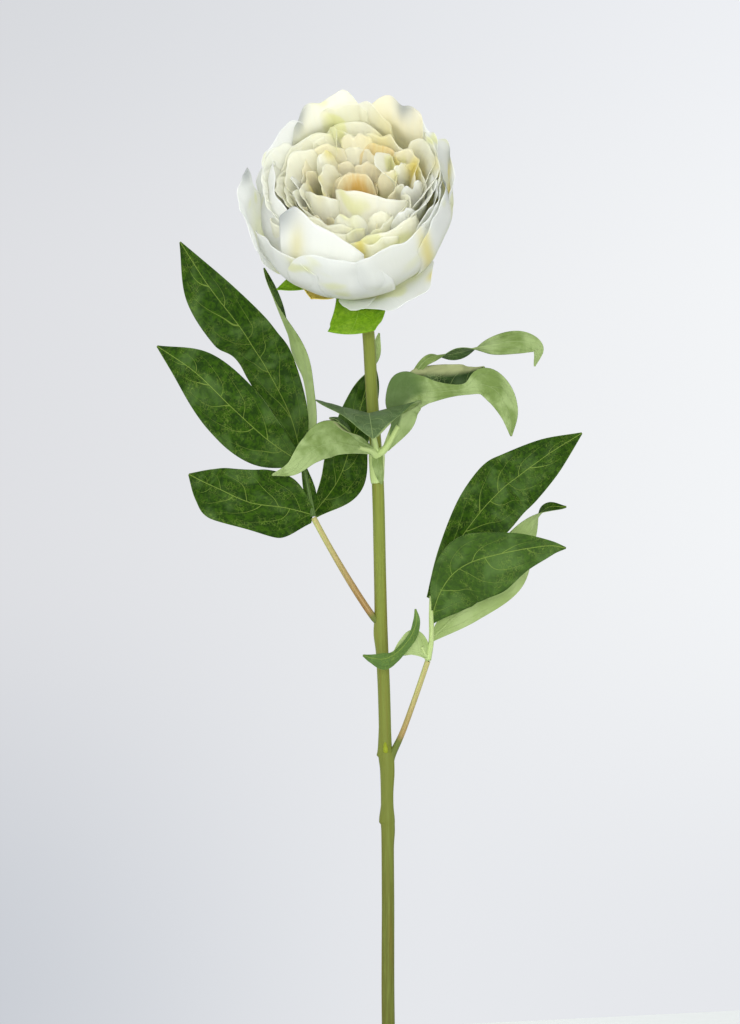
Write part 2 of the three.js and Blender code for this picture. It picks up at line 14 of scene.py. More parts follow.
import bpy
import numpy as np
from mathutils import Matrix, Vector

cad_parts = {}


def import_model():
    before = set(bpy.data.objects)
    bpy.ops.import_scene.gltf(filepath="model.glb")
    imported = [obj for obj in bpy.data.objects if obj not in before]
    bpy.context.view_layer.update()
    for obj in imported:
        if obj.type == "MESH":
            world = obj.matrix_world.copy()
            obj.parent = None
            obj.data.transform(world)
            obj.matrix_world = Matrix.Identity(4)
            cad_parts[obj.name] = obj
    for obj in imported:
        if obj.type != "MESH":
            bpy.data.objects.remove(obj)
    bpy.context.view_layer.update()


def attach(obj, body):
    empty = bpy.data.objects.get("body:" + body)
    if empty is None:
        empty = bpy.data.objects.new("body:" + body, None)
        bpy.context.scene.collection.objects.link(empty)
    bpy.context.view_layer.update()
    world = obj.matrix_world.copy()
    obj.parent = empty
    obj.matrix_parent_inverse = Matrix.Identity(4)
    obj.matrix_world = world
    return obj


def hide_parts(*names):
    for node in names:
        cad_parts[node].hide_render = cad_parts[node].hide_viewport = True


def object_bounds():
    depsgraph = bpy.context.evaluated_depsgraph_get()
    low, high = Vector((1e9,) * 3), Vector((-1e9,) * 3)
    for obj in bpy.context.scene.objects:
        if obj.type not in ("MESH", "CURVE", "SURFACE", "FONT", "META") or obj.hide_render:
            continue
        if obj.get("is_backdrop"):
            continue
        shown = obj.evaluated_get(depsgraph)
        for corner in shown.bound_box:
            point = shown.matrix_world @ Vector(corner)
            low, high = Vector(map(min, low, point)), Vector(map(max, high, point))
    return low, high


MM = 0.001
BODY = "root"
# How far a leaf's side vein runs forward to the margin, straight and bowed, as shares of the blade
VEIN_SLANT = 0.1
VEIN_BOW = 0.34

log = logging.getLogger("peony")

Array = np.ndarray
Number = Union[float, Array]
Marks = dict[str, Number]
Point = tuple[float, float, float]
Stations = Sequence[Sequence[float]]
Colour = tuple[int, int, int]
Flush = tuple[float, float, float, float]


# Shapes


def run(stations: Stations, t: Array) -> Array:
    """Reads a smooth run of values through evenly spaced stations.

    Args:
        stations: the values at each station.
        t: places on the run from 0 to 1, in any shape.

    Returns:
        The values there, in one more axis at the end.
    """
    rows = np.array(stations, float)
    last = len(rows) - 1
    padded = np.vstack([2 * rows[:1] - rows[1:2], rows, 2 * rows[-1:] - rows[-2:-1]])
    place = np.clip(t, 0, 1) * last
    i = np.minimum(place.astype(int), last - 1)
    f = (place - i)[..., None]
    a, b, c, d = padded[i], padded[i + 1], padded[i + 2], padded[i + 3]
    m0, m1, rise = (c - a) / 2, (d - b) / 2, c - b
    return b + f * (m0 + f * (3 * rise - 2 * m0 - m1 + f * (m0 + m1 - 2 * rise)))


def unit(vectors: Array) -> Array:
    """Vectors of length one along the last axis."""
    tiny = 1e-9
    return vectors / np.maximum(np.linalg.norm(vectors, axis=-1, keepdims=True), tiny)


def ease(x: Array) -> Array:
    """A smooth step from 0 to 1, flat outside."""
    x = np.clip(x, 0, 1)
    return x * x * (3 - 2 * x)


def hump(x: Array, middle: float, width: float) -> Array:
    """A soft hump of height 1 about a middle."""
    return np.exp(-(((x - middle) / width) ** 2))


def turns(count: int) -> Array:
    """Evenly spaced turns once round, in radians."""
    return 2 * np.pi * np.arange(count) / count


def swung(out: Array, side: Array, heading: Number) -> tuple[Array, Array]:
    """A way out and a way sideways, as right and up, where out points along the heading in radians."""
    cos, sin = np.cos(heading), np.sin(heading)
    return out * cos - side * sin, out * sin + side * cos


def grid_faces(rows: int, columns: int, closed: bool = False) -> Array:
    """Quads of a grid of points.

    Args:
        rows: how many rows of points there are.
        columns: how many points each row has.
        closed: whether each row closes on itself.

    Returns:
        Rows of four point numbers.
    """
    across = np.arange(columns if closed else columns - 1)
    j, i = np.meshgrid(np.arange(rows - 1), across, indexing="ij")
    a = (j * columns + i).ravel()
    b = (j * columns + (i + 1) % columns).ravel()
    return np.stack([a, b, b + columns, a + columns], axis=1)


def lathe(profile: Stations, segments: int) -> tuple[Array, Array]:
    """Turns a profile of radius and height about +Z.

    Args:
        profile: its points in order. The first and the last stand on the axis.
        segments: how many sides the body has.

    Returns:
        Its rings, rows by sides by three, and its two ends.
    """
    rows = np.array(profile[1:-1], float)
    turn = turns(segments)
    heights = np.repeat(rows[:, 1:], segments, axis=1)
    rings = np.stack([rows[:, :1] * np.cos(turn), rows[:, :1] * np.sin(turn), heights], axis=-1)
    return rings, np.array([[0, 0, profile[0][1]], [0, 0, profile[-1][1]]])


@dataclass
class Skin:
    """The mesh of one piece, gathered body by body, in millimetres.

    Every body brings the same marks, which the finishes read as attributes. A mark is a value for the whole
    body or one for each of its points.
    """

    points: list[Array] = field(default_factory=list)
    faces: list[list[list[int]]] = field(default_factory=list)
    finishes: list[Array] = field(default_factory=list)
    smooth: list[Array] = field(default_factory=list)
    marks: dict[str, list[Array]] = field(default_factory=dict)
    count: int = 0

    def add_points(self, points: Array, marks: Marks) -> int:
        """Adds a body's points.

        Args:
            points: rows of x, y and z.
            marks: their marks.

        Returns:
            How many points came before them.
        """
        first = self.count
        self.points.append(points)
        self.count += len(points)
        for name, values in marks.items():
            self.marks.setdefault(name, []).append(np.broadcast_to(values, len(points)))
        return first

    def add_faces(self, faces: Array, first: int, finish: int, smooth: bool) -> None:
        """Adds faces of one kind.

        Args:
            faces: rows of point numbers, counted from the body's first point.
            first: that point's own number.
            finish: which of the piece's finishes they take.
            smooth: whether they are shaded smooth.
        """
        self.faces.append((faces + first).tolist())
        self.finishes.append(np.full(len(faces), finish, int))
        self.smooth.append(np.full(len(faces), smooth))

    def add_sheet(
        self, middle: Array, thickness: Number, marks: Marks, below: Number = 0.0, finish: int = 0
    ) -> None:
        """Adds a thin closed sheet round a grid of middle points.

        Args:
            middle: the grid, rows by columns by three.
            thickness: how thick it is.
            marks: its marks over the grid. "under" is added, 1 on the lower face.
            below: how much further it reaches on its lower face.
            finish: which of the piece's finishes it takes.
        """
        rows, columns = middle.shape[:2]
        count = rows * columns

        def spread(values: Number) -> Array:
            """Values over the whole grid."""
            return np.broadcast_to(values, (rows, columns))

        normal = unit(np.cross(np.gradient(middle, axis=0), np.gradient(middle, axis=1)))
        half = spread(thickness)[..., None] / 2
        upper = middle + normal * half
        lower = middle - normal * (half + spread(below)[..., None])
        both = {name: np.tile(spread(values).ravel(), 2) for name, values in marks.items()}
        both["under"] = np.repeat([0.0, 1.0], count)
        first = self.add_points(np.vstack([upper.reshape(-1, 3), lower.reshape(-1, 3)]), both)
        quads = grid_faces(rows, columns)
        number = np.arange(count).reshape(rows, columns)
        rim = np.concatenate([number[0, :-1], number[:-1, -1], number[-1, :0:-1], number[:0:-1, 0]])
        following = np.roll(rim, -1)
        edge = np.stack([rim, following, following + count, rim + count], axis=1)
        self.add_faces(np.vstack([quads[:, ::-1], quads + count]), first, finish, smooth=True)
        self.add_faces(edge, first, finish, smooth=False)

    def add_tube(
        self, rings: Array, ends: Array, marks: Marks, finish: int = 0, smooth_ends: bool = True
    ) -> None:
        """Adds a body of rings, with a fan of triangles over each end.

        Args:
            rings: its rings, rows by sides by three.
            ends: the middle of its first and of its last ring.
            marks: its marks over the rings' points and then the two ends.
            finish: which of the piece's finishes it takes.
            smooth_ends: whether the fans are shaded smooth.
        """
        rows, sides = rings.shape[:2]
        first = self.add_points(np.vstack([rings.reshape(-1, 3), ends]), marks)
        self.add_faces(grid_faces(rows, sides, closed=True), first, finish, smooth=True)
        ring = np.arange(sides)
        following = (ring + 1) % sides
        last = (rows - 1) * sides
        foot = np.full(sides, rows * sides)
        for fan in ((foot, following, ring), (foot + 1, last + ring, last + following)):
            self.add_faces(np.stack(fan, axis=1), first, finish, smooth_ends)

    def piece(
        self, name: str, slot: str, nodes: Sequence[str], finishes: Sequence[bpy.types.Material]
    ) -> None:
        """Makes the piece, which rides on the body and stands for CAD nodes.

        Args:
            name: the piece's name.
            slot: its material slot; not used.
            nodes: the CAD nodes that it stands for.
            finishes: its materials in order.
        """
        mesh = bpy.data.meshes.new(name)
        faces = [face for group in self.faces for face in group]
        mesh.from_pydata((np.vstack(self.points) * MM).tolist(), [], faces)
        mesh.polygons.foreach_set("use_smooth", np.concatenate(self.smooth))
        mesh.polygons.foreach_set("material_index", np.concatenate(self.finishes))
        for mark, values in self.marks.items():
            attribute = mesh.attributes.new(mark, "FLOAT", "POINT")
            attribute.data.foreach_set("value", np.concatenate(values).astype(np.float32))
        for material in finishes:
            mesh.materials.append(material)
        mesh.update()
        piece = bpy.data.objects.new(name, mesh)
        bpy.context.scene.collection.objects.link(piece)
        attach(piece, BODY)
        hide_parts(*nodes)
        log.info("%s: %d faces, stands for %s", name, len(faces), ", ".join(nodes))


@dataclass(frozen=True)
class Rod:
    """A round stem or stalk through stations of x, y, z and radius."""

    stations: Stations
    sides: int
    steps: int

    def frames(self) -> tuple[Array, Array, Array, Array]:
        """Its course.

        Returns:
            Its middle points, two directions square to it at each, and its radii.
        """
        t = np.linspace(0, 1, self.steps + 1)
        near = 0.01
        values = run(self.stations, t)
        along = unit(run(self.stations, t + near)[:, :3] - run(self.stations, t - near)[:, :3])
        side = np.array([1.0, 0.0, 0.0])
        sides = []
        for direction in along:
            side = unit(side - direction * side.dot(direction))
            sides.append(side)
        return values[:, :3], np.array(sides), np.cross(along, sides), values[:, 3]

    def add_to(self, skin: Skin, marks: Marks, finish: int = 0, swelling: Number = 0.0) -> None:
        """Adds the rod, closed at both ends.

        Args:
            skin: the mesh that it goes into.
            marks: a value for the whole rod under each name. "along", in millimetres, and "across", the
                turn round it in radians, are added.
            finish: which of the piece's finishes it takes.
            swelling: how much further out it stands, steps by sides.
        """
        middle, side, across, radius = self.frames()
        turn = turns(self.sides)
        out = radius[:, None] + swelling
        rings = (
            middle[:, None]
            + side[:, None] * (out * np.cos(turn))[..., None]
            + across[:, None] * (out * np.sin(turn))[..., None]
        )
        travelled = np.concatenate([[0], np.cumsum(np.linalg.norm(np.diff(middle, axis=0), axis=1))])
        placed = {
            "along": np.append(np.repeat(travelled, self.sides), [0, travelled[-1]]),
            "across": np.append(np.tile(turn, len(middle)), [0, 0]),
        }
        skin.add_tube(rings, middle[[0, -1]], {**marks, **placed}, finish, smooth_ends=False)


# Finishes


def ink(colour: Colour) -> tuple[float, float, float, float]:
    """A colour as a shader takes it.

    Args:
        colour: red, green and blue from 0 to 255, as they look.

    Returns:
        The linear colour, with full cover.
    """
    shares = [value / 255 for value in colour]
    linear = [s / 12.92 if s <= 0.04045 else ((s + 0.055) / 1.055) ** 2.4 for s in shares]
    return (linear[0], linear[1], linear[2], 1.0)


Socket = bpy.types.NodeSocket
Value = Union[float, Colour, Socket]
Owner = Union[bpy.types.Material, bpy.types.World]


class Paint:
    """The nodes of a material or world, made by short calls.

    A value is a number, a colour or another node's output.
    """

    def __init__(self, owner: Owner) -> None:
        """Starts with an empty tree.

        Args:
            owner: the material or world that the nodes belong to.
        """
        self.owner = owner
        owner.use_nodes = True
        self.nodes = owner.node_tree.nodes
        self.links = owner.node_tree.links
        self.nodes.clear()

    def put(self, socket: Socket, value: Value) -> None:
        """Links a value to a socket, or sets it there.

        Args:
            socket: where it goes.
            value: what goes there.
        """
        if isinstance(value, Socket):
            self.links.new(value, socket)
        elif isinstance(value, tuple):
            socket.default_value = ink(value)
        else:
            socket.default_value = value

    def marks(self, *names: str) -> list[Socket]:
        """Reads marks of the mesh.

        Args:
            names: what they are called.

        Returns:
            One value for each name.
        """
        found = []
        for name in names:
            node = self.nodes.new("ShaderNodeAttribute")
            node.attribute_name = name
            found.append(node.outputs["Fac"])
        return found

    def math(self, operation: str, a: Value, b: Value = 0.0, c: Value = 0.0) -> Socket:
        """Works out one sum.

        Args:
            operation: what the node calls it.
            a: its first value.
            b: its second value, where it takes one.
            c: its third value, where it takes one.

        Returns:
            The result.
        """
        node = self.nodes.new("ShaderNodeMath")
        node.operation = operation
        for socket, value in zip(node.inputs, (a, b, c)):
            self.put(socket, value)
        return node.outputs[0]

    def times(self, a: Value, b: Value) -> Socket:
        """One value times another."""
        return self.math("MULTIPLY", a, b)

    def scaled(self, a: Value, b: Value, c: Value) -> Socket:
        """The first value times the second, and the third added."""
        return self.math("MULTIPLY_ADD", a, b, c)

    def most(self, first: Value, *others: Value) -> Socket:
        """Picks the largest of some values.

        Args:
            first: the first of them.
            others: the rest of them.

        Returns:
            The largest.
        """
        for other in others:
            first = self.math("MAXIMUM", first, other)
        return first

    def vector(self, x: Value, y: Value, z: Value = 0.0) -> Socket:
        """Joins three values.

        Args:
            x: the first.
            y: the second.
            z: the third.

        Returns:
            Their vector.
        """
        node = self.nodes.new("ShaderNodeCombineXYZ")
        for socket, value in zip(node.inputs, (x, y, z)):
            self.put(socket, value)
        return node.outputs[0]

    def split(self, vector: Socket) -> tuple[Socket, Socket, Socket]:
        """Takes a vector apart.

        Args:
            vector: the vector.

        Returns:
            Its three values.
        """
        node = self.nodes.new("ShaderNodeSeparateXYZ")
        self.put(node.inputs[0], vector)
        return tuple(node.outputs)

    def place(self) -> Socket:
        """The point on the piece in metres."""
        return self.nodes.new("ShaderNodeTexCoord").outputs["Object"]

    def noise(self, where: Value, scale: float, detail: float = 2.0, warp: float = 0.0) -> Socket:
        """Soft noise.

        Args:
            where: the place that it is read at.
            scale: how fine it is, in blotches to a unit of that place.
            detail: how many finer layers lie on it.
            warp: how far it is drawn out of shape.

        Returns:
            A value from 0 to 1.
        """
        node = self.nodes.new("ShaderNodeTexNoise")
        self.put(node.inputs["Vector"], where)
        node.inputs["Scale"].default_value = scale
        node.inputs["Detail"].default_value = detail
        node.inputs["Distortion"].default_value = warp
        return node.outputs["Fac"]

    def cell_edge(self, where: Value, scale: float) -> Socket:
        """A net of cells.

        Args:
            where: the place that it is read at.
            scale: how fine it is, in cells to a unit of that place.

        Returns:
            How far the place is from the edge of its cell.
        """
        node = self.nodes.new("ShaderNodeTexVoronoi")
        node.feature = "DISTANCE_TO_EDGE"
        self.put(node.inputs["Vector"], where)
        node.inputs["Scale"].default_value = scale
        return node.outputs["Distance"]

    def step(self, value: Value, low: float, high: float, start: float = 0.0, end: float = 1.0) -> Socket:
        """A smooth step.

        Args:
            value: what it follows.
            low: the value that it starts at.
            high: the value that it ends at.
            start: the result before it.
            end: the result after it.

        Returns:
            A result between start and end.
        """
        node = self.nodes.new("ShaderNodeMapRange")
        node.interpolation_type = "SMOOTHSTEP"
        names = ("Value", "From Min", "From Max", "To Min", "To Max")
        for name, given in zip(names, (value, low, high, start, end)):
            self.put(node.inputs[name], given)
        return node.outputs["Result"]

    def mix(self, share: Value, a: Value, b: Value) -> Socket:
        """Mixes two colours.

        Args:
            share: how much of the second there is, from 0 to 1.
            a: the first.
            b: the second.

        Returns:
            The mixed colour.
        """
        node = self.nodes.new("ShaderNodeMix")
        node.data_type = "RGBA"
        factor, first, second = node.inputs[0], node.inputs[6], node.inputs[7]
        for socket, value in ((factor, share), (first, a), (second, b)):
            self.put(socket, value)
        return node.outputs[2]

    def bump(self, height: Value, depth: float) -> Socket:
        """Makes a relief.

        Args:
            height: how high it stands, from 0 to 1.
            depth: how many metres 1 is.

        Returns:
            The bumped normal.
        """
        node = self.nodes.new("ShaderNodeBump")
        node.inputs["Distance"].default_value = depth
        self.put(node.inputs["Height"], height)
        return node.outputs["Normal"]

    def principled(self, **sockets: Value) -> Socket:
        """Makes the main shader.

        Args:
            sockets: its values, named as its sockets are but in lower case with underscores.

        Returns:
            The shader.
        """
        node = self.nodes.new("ShaderNodeBsdfPrincipled")
        for name, value in sockets.items():
            words = [word.upper() if word == "ior" else word.capitalize() for word in name.split("_")]
            self.put(node.inputs[" ".join(words)], value)
        return node.outputs[0]

    def out(self, shader: Socket) -> Owner:
        """Ends the tree.

        Args:
            shader: the shader that it ends at.

        Returns:
            The tree's owner.
        """
        kind = "World" if isinstance(self.owner, bpy.types.World) else "Material"
        self.links.new(shader, self.nodes.new(f"ShaderNodeOutput{kind}").inputs["Surface"])
        return self.owner

    def thin(self, solid: Socket, through: Value, share: float) -> Owner:
        """Ends the tree at a thin surface, which lets light through from behind.

        Args:
            solid: the shader of its front.
            through: the tint of the light that comes through.
            share: how much of that there is, from 0 to 1.

        Returns:
            The tree's owner.
        """
        behind = self.nodes.new("ShaderNodeBsdfTranslucent")
        self.put(behind.inputs["Color"], through)
        both = self.nodes.new("ShaderNodeMixShader")
        both.inputs["Fac"].default_value = share
        self.links.new(solid, both.inputs[1])
        self.links.new(behind.outputs[0], both.inputs[2])
        return self.out(both.outputs[0])


@dataclass(frozen=True)
class PetalFinish:
    """Petal tissue: white at the rim, creamier towards the heart, with yellow-green patches and roots.

    Each span is the warmth that a colour comes in over, and streaks how far streaks shift it. patches is
    how strong the patches are, dusking how grey the painted shade on the rims is, through the share of its
    light that comes from behind, and crinkle the depth of its finest folds in metres. The scales are in
    blotches to a metre.
    """

    rim: Colour = (249, 250, 247)
    ivory: Colour = (251, 251, 240)
    cream: Colour = (251, 247, 227)
    gold: Colour = (238, 208, 126)
    throat: Colour = (237, 239, 160)
    flush: Colour = (240, 228, 112)
    # The grey of the painted shade on some rims
    rim_shade: Colour = (196, 200, 198)
    ivory_span: tuple[float, float] = (0.0, 0.38)
    cream_span: tuple[float, float] = (0.34, 0.74)
    gold_span: tuple[float, float] = (0.7, 1.05)
    streaks: float = 0.24
    patches: float = 0.36
    rim_shading: float = 0.8
    root_scale: float = 55.0
    patch_scale: float = 42.0
    through: float = 0.62
    crinkle: float = 0.0002

    def material(self) -> Owner:
        """Makes the material, which reads the marks rise, warmth, side, flush and dusk.

        Returns:
            The material.
        """
        paint = Paint(bpy.data.materials.new("petal"))
        rise, warmth, side, flush, rim_shade = paint.marks("rise", "warmth", "side", "flush", "rim_shade")
        grain = paint.vector(side, paint.times(rise, 3.0), paint.times(warmth, 9.0))
        streak = paint.noise(grain, 0.5, 3.0, 0.6)
        warmer = paint.math("ADD", warmth, paint.scaled(streak, self.streaks, -self.streaks / 2))
        tone = paint.mix(paint.step(warmer, *self.ivory_span), self.rim, self.ivory)
        tone = paint.mix(paint.step(warmer, *self.cream_span), tone, self.cream)
        tone = paint.mix(paint.step(warmer, *self.gold_span), tone, self.gold)
        # Their roots and the patches
        depth = paint.scaled(paint.noise(paint.place(), self.root_scale, 2.0), 0.5, rise)
        root = paint.times(paint.step(depth, 0.5, 0.95, 0.8, 0.0), paint.step(warmth, 0.0, 0.4, 0.45, 1.0))
        cloud = paint.noise(paint.place(), self.patch_scale, 1.0, 0.5)
        patch = paint.step(cloud, 0.56, 0.7, 0.0, self.patches)
        tone = paint.mix(paint.most(root, patch), tone, self.throat)
        tone = paint.mix(flush, tone, self.flush)
        # Painted shade greys part of some rims
        tone = paint.mix(paint.times(rim_shade, self.rim_shading), tone, self.rim_shade)
        # Folds, and finer ones between them
        fine = paint.noise(paint.vector(paint.times(side, 1.6), paint.times(rise, 5.0)), 1.0, 3.0)
        folds = paint.noise(paint.vector(side, paint.times(rise, 14.0), warmth), 0.16, 2.0, 0.5)
        normal = paint.bump(paint.scaled(folds, 4.0, fine), self.crinkle)
        solid = paint.principled(
            base_color=tone, roughness=0.7, sheen_weight=0.1, specular_ior_level=0.2, normal=normal
        )
        return paint.thin(solid, tone, self.through)


@dataclass(frozen=True)
class LeafFinish:
    """Leaf tissue: a dark upper face with pale veins and net and patches of painted sheen, and a pale
    underside.

    laterals is how many pairs of side veins a blade has, veining how strongly they and the net show, and
    margin the colour of its right edge where that differs. through is the share of its light that comes
    from behind, and quilting the depth of its relief in metres. The scales are in blotches or cells to a
    millimetre.
    """

    name: str
    dark: Colour
    light: Colour
    # The lighter green of the painted sheen, in patches on the upper face
    bloom: Colour
    vein: Colour
    back: Colour
    back_light: Colour
    laterals: float = 6.0
    veining: float = 0.62
    margin: Union[Colour, None] = None
    patch_scale: float = 0.07
    mottle_scale: float = 0.42
    net_scale: float = 0.62
    through: float = 0.14
    quilting: float = 0.0003

    def material(self) -> Owner:
        """Makes the material.

        It reads the marks along, across, long, wide, seed, pale, shaded and under.

        Returns:
            The material.
        """
        paint = Paint(bpy.data.materials.new(self.name))
        along, across, long, wide, seed = paint.marks("along", "across", "long", "wide", "seed")
        pale, shaded, under = paint.marks("pale", "shaded", "under")
        blade = paint.vector(wide, long, seed)
        patch = paint.noise(blade, self.patch_scale, 2.0, 0.4)
        mottle = paint.noise(blade, self.mottle_scale, 3.0, 0.8)
        # The midrib, the side veins that bow forward from it, and the net between them
        middle = paint.step(paint.math("ABSOLUTE", wide), 0.12, 0.36, 1.0, 0.0)
        off = paint.math("ABSOLUTE", across)
        bowed = paint.times(paint.math("POWER", off, 3.0), VEIN_BOW)
        bow = paint.math("ADD", paint.times(off, VEIN_SLANT), bowed)
        shift = paint.times(paint.math("SIGN", across), 0.22)
        wobble = paint.scaled(paint.noise(blade, self.patch_scale, 0.0), 0.5, shift)
        count = paint.scaled(paint.math("SUBTRACT", along, bow), self.laterals, wobble)
        gap = paint.math("ABSOLUTE", paint.math("SUBTRACT", paint.math("FRACT", count), 0.5))
        inward = paint.step(off, 0.62, 0.95, 1.0, 0.0)
        lateral = paint.times(paint.step(gap, 0.008, 0.024, 1.0, 0.0), inward)
        warped = paint.vector(paint.scaled(mottle, 2.2, wide), paint.scaled(patch, 6.0, long), seed)
        net = paint.step(paint.cell_edge(warped, self.net_scale), 0.02, 0.08, 1.0, 0.0)
        net = paint.times(net, paint.times(paint.step(paint.noise(blade, 0.16, 2.0), 0.46, 0.62), 0.5))
        lines = paint.most(middle, paint.times(lateral, 0.85), net)
        # The upper face, the underside and the relief of both
        face = paint.mix(paint.step(mottle, 0.36, 0.68), self.dark, self.light)
        # Painted sheen: patches of the lighter green, more on pale leaflets
        share = paint.math("ADD", paint.step(patch, 0.46, 0.7, 0.0, 0.38), pale)
        face = paint.mix(share, face, self.bloom)
        face = paint.mix(paint.times(lines, self.veining), face, self.vein)
        if self.margin is not None:
            face = paint.mix(paint.step(across, 0.4, 0.75, 0.0, 0.9), face, self.margin)
        soft = paint.scaled(patch, 1.6, paint.times(mottle, 0.4))
        rear = paint.mix(paint.step(soft, 0.7, 1.3), self.back, self.back_light)
        rear = paint.mix(paint.times(paint.most(middle, lateral), 0.4), rear, self.back_light)
        # Painted shade on the underside of some leaflets, towards their roots
        rear = paint.mix(shaded, rear, self.light)
        tone = paint.mix(under, face, rear)
        height = paint.math("SUBTRACT", paint.times(mottle, 0.5), paint.times(lines, 0.5))
        solid = paint.principled(
            base_color=tone,
            roughness=paint.step(patch, 0.3, 0.7, 0.7, 0.55),
            specular_ior_level=0.1,
            normal=paint.bump(height, self.quilting),
        )
        return paint.thin(solid, paint.mix(0.35, tone, self.back), self.through)


@dataclass(frozen=True)
class StemFinish:
    """A stem's skin: it goes from a low to a high colour, with lengthwise streaks and a browner blush.

    low_end and high_end are how far along it, in millimetres, the change of colour starts and ends. heel
    is the colour that it has at its very start, if any, up to heel_end, and heel_fade how far that takes
    to fade. The scales are those of the noise round it, and ribbing the depth of its ribs in metres.
    """

    name: str
    low: Colour
    high: Colour
    streak: Colour
    blush: Colour
    blush_share: float
    low_end: float = 0.0
    high_end: float = 600.0
    heel: Union[Colour, None] = None
    heel_end: float = 0.0
    heel_fade: float = 6.0
    streak_scale: float = 3.2
    blush_scale: float = 1.1
    rib_scale: float = 2.2
    ribbing: float = 0.00035

    def material(self) -> Owner:
        """Makes the material, which reads the marks along and across.

        Returns:
            The material.
        """
        paint = Paint(bpy.data.materials.new(self.name))
        along, across = paint.marks("along", "across")
        round_it = (paint.math("COSINE", across), paint.math("SINE", across))
        around = paint.vector(*round_it, paint.times(along, 0.012))
        streaks = paint.noise(around, self.streak_scale, 3.0, 0.3)
        broad = paint.noise(around, self.blush_scale, 2.0)
        tone = paint.mix(paint.step(along, self.low_end, self.high_end), self.low, self.high)
        tone = paint.mix(paint.step(streaks, 0.38, 0.68, 0.0, 0.55), tone, self.streak)
        tone = paint.mix(paint.step(broad, 0.5, 0.75, 0.0, self.blush_share), tone, self.blush)
        if self.heel is not None:
            heel = paint.step(along, self.heel_end, self.heel_end + self.heel_fade, 1.0, 0.0)
            tone = paint.mix(heel, tone, self.heel)
        unrolled = paint.vector(paint.times(across, 3.0), paint.times(along, 0.03))
        normal = paint.bump(paint.noise(unrolled, self.rib_scale, 2.0), self.ribbing)
        return paint.out(
            paint.principled(base_color=tone, roughness=0.6, specular_ior_level=0.25, normal=normal)
        )


@dataclass(frozen=True)
class GlazeFinish:
    """Pale satin glaze with soft clouds and fine specks, over clay that shows at the foot.

    clay_height is how high the bare clay reaches, waver how far its edge strays from there, and ripple
    the depth of the glaze's waves, in metres. The scales are in blotches to a metre.
    """

    glaze: Colour = (219, 217, 210)
    cloud: Colour = (208, 206, 198)
    speck: Colour = (176, 166, 148)
    clay: Colour = (196, 180, 156)
    clay_height: float = 0.0016
    waver: float = 0.0006
    ripple: float = 0.0004
    cloud_scale: float = 18.0
    speck_scale: float = 900.0
    ripple_scale: float = 120.0

    def material(self) -> Owner:
        """Makes the material, which reads the point's height.

        Returns:
            The material.
        """
        paint = Paint(bpy.data.materials.new("glaze"))
        place = paint.place()
        height = paint.split(place)[2]
        cloud = paint.noise(place, self.cloud_scale, 3.0, 0.4)
        specks = paint.step(paint.noise(place, self.speck_scale, 2.0), 0.71, 0.78)
        bare = paint.math(
            "LESS_THAN", height, paint.scaled(cloud, 2 * self.waver, self.clay_height - self.waver)
        )
        tone = paint.mix(paint.step(cloud, 0.35, 0.7, 0.0, 0.35), self.glaze, self.cloud)
        tone = paint.mix(paint.times(specks, 0.5), tone, self.speck)
        tone = paint.mix(bare, tone, self.clay)
        rough = paint.step(bare, 0.0, 1.0, 0.3, 0.85)
        normal = paint.bump(paint.noise(place, self.ripple_scale, 3.0), self.ripple)
        return paint.out(
            paint.principled(base_color=tone, roughness=rough, specular_ior_level=0.5, normal=normal)
        )


@dataclass(frozen=True)
class WaterFinish:
    """Clear water with a hint of green and a few fine motes.

    ripple is the depth of its waves in metres, and the scales are in blotches to a metre.
    """

    tint: Colour = (226, 236, 228)
    mote: Colour = (196, 206, 180)
    ripple: float = 0.0004
    mote_scale: float = 260.0
    ripple_scale: float = 40.0
    clearness: float = 0.95
    bending: float = 1.333

    def material(self) -> Owner:
        """Makes the material, which is the same all through.

        Returns:
            The material.
        """
        paint = Paint(bpy.data.materials.new("water"))
        motes = paint.step(paint.noise(paint.place(), self.mote_scale, 3.0), 0.6, 0.75)
        normal = paint.bump(paint.noise(paint.place(), self.ripple_scale, 1.0), self.ripple)
        return paint.out(
            paint.principled(
                base_color=paint.mix(motes, self.tint, self.mote),
                roughness=0.04,
                ior=self.bending,
                transmission_weight=self.clearness,
                normal=normal,
            )
        )


# The bloom


class PetalTone(Enum):
    """How warm a petal's colour is, from white outside to the tan of the heart."""

    WHITE = 0.0
    PEARL = 0.22
    IVORY = 0.42
    CREAM = 0.62
    TAN = 0.82


class Dice:
    """Repeatable draws from -1 to 1, by the rule that the solids' waves were drawn with."""

    FACTOR = 16807
    MODULUS = 2147483647

    def __init__(self, seed: int) -> None:
        """Starts from a seed."""
        self.state = seed

    def __call__(self) -> float:
        """The next draw."""
        self.state = self.state * self.FACTOR % self.MODULUS
        return self.state / self.MODULUS * 2 - 1


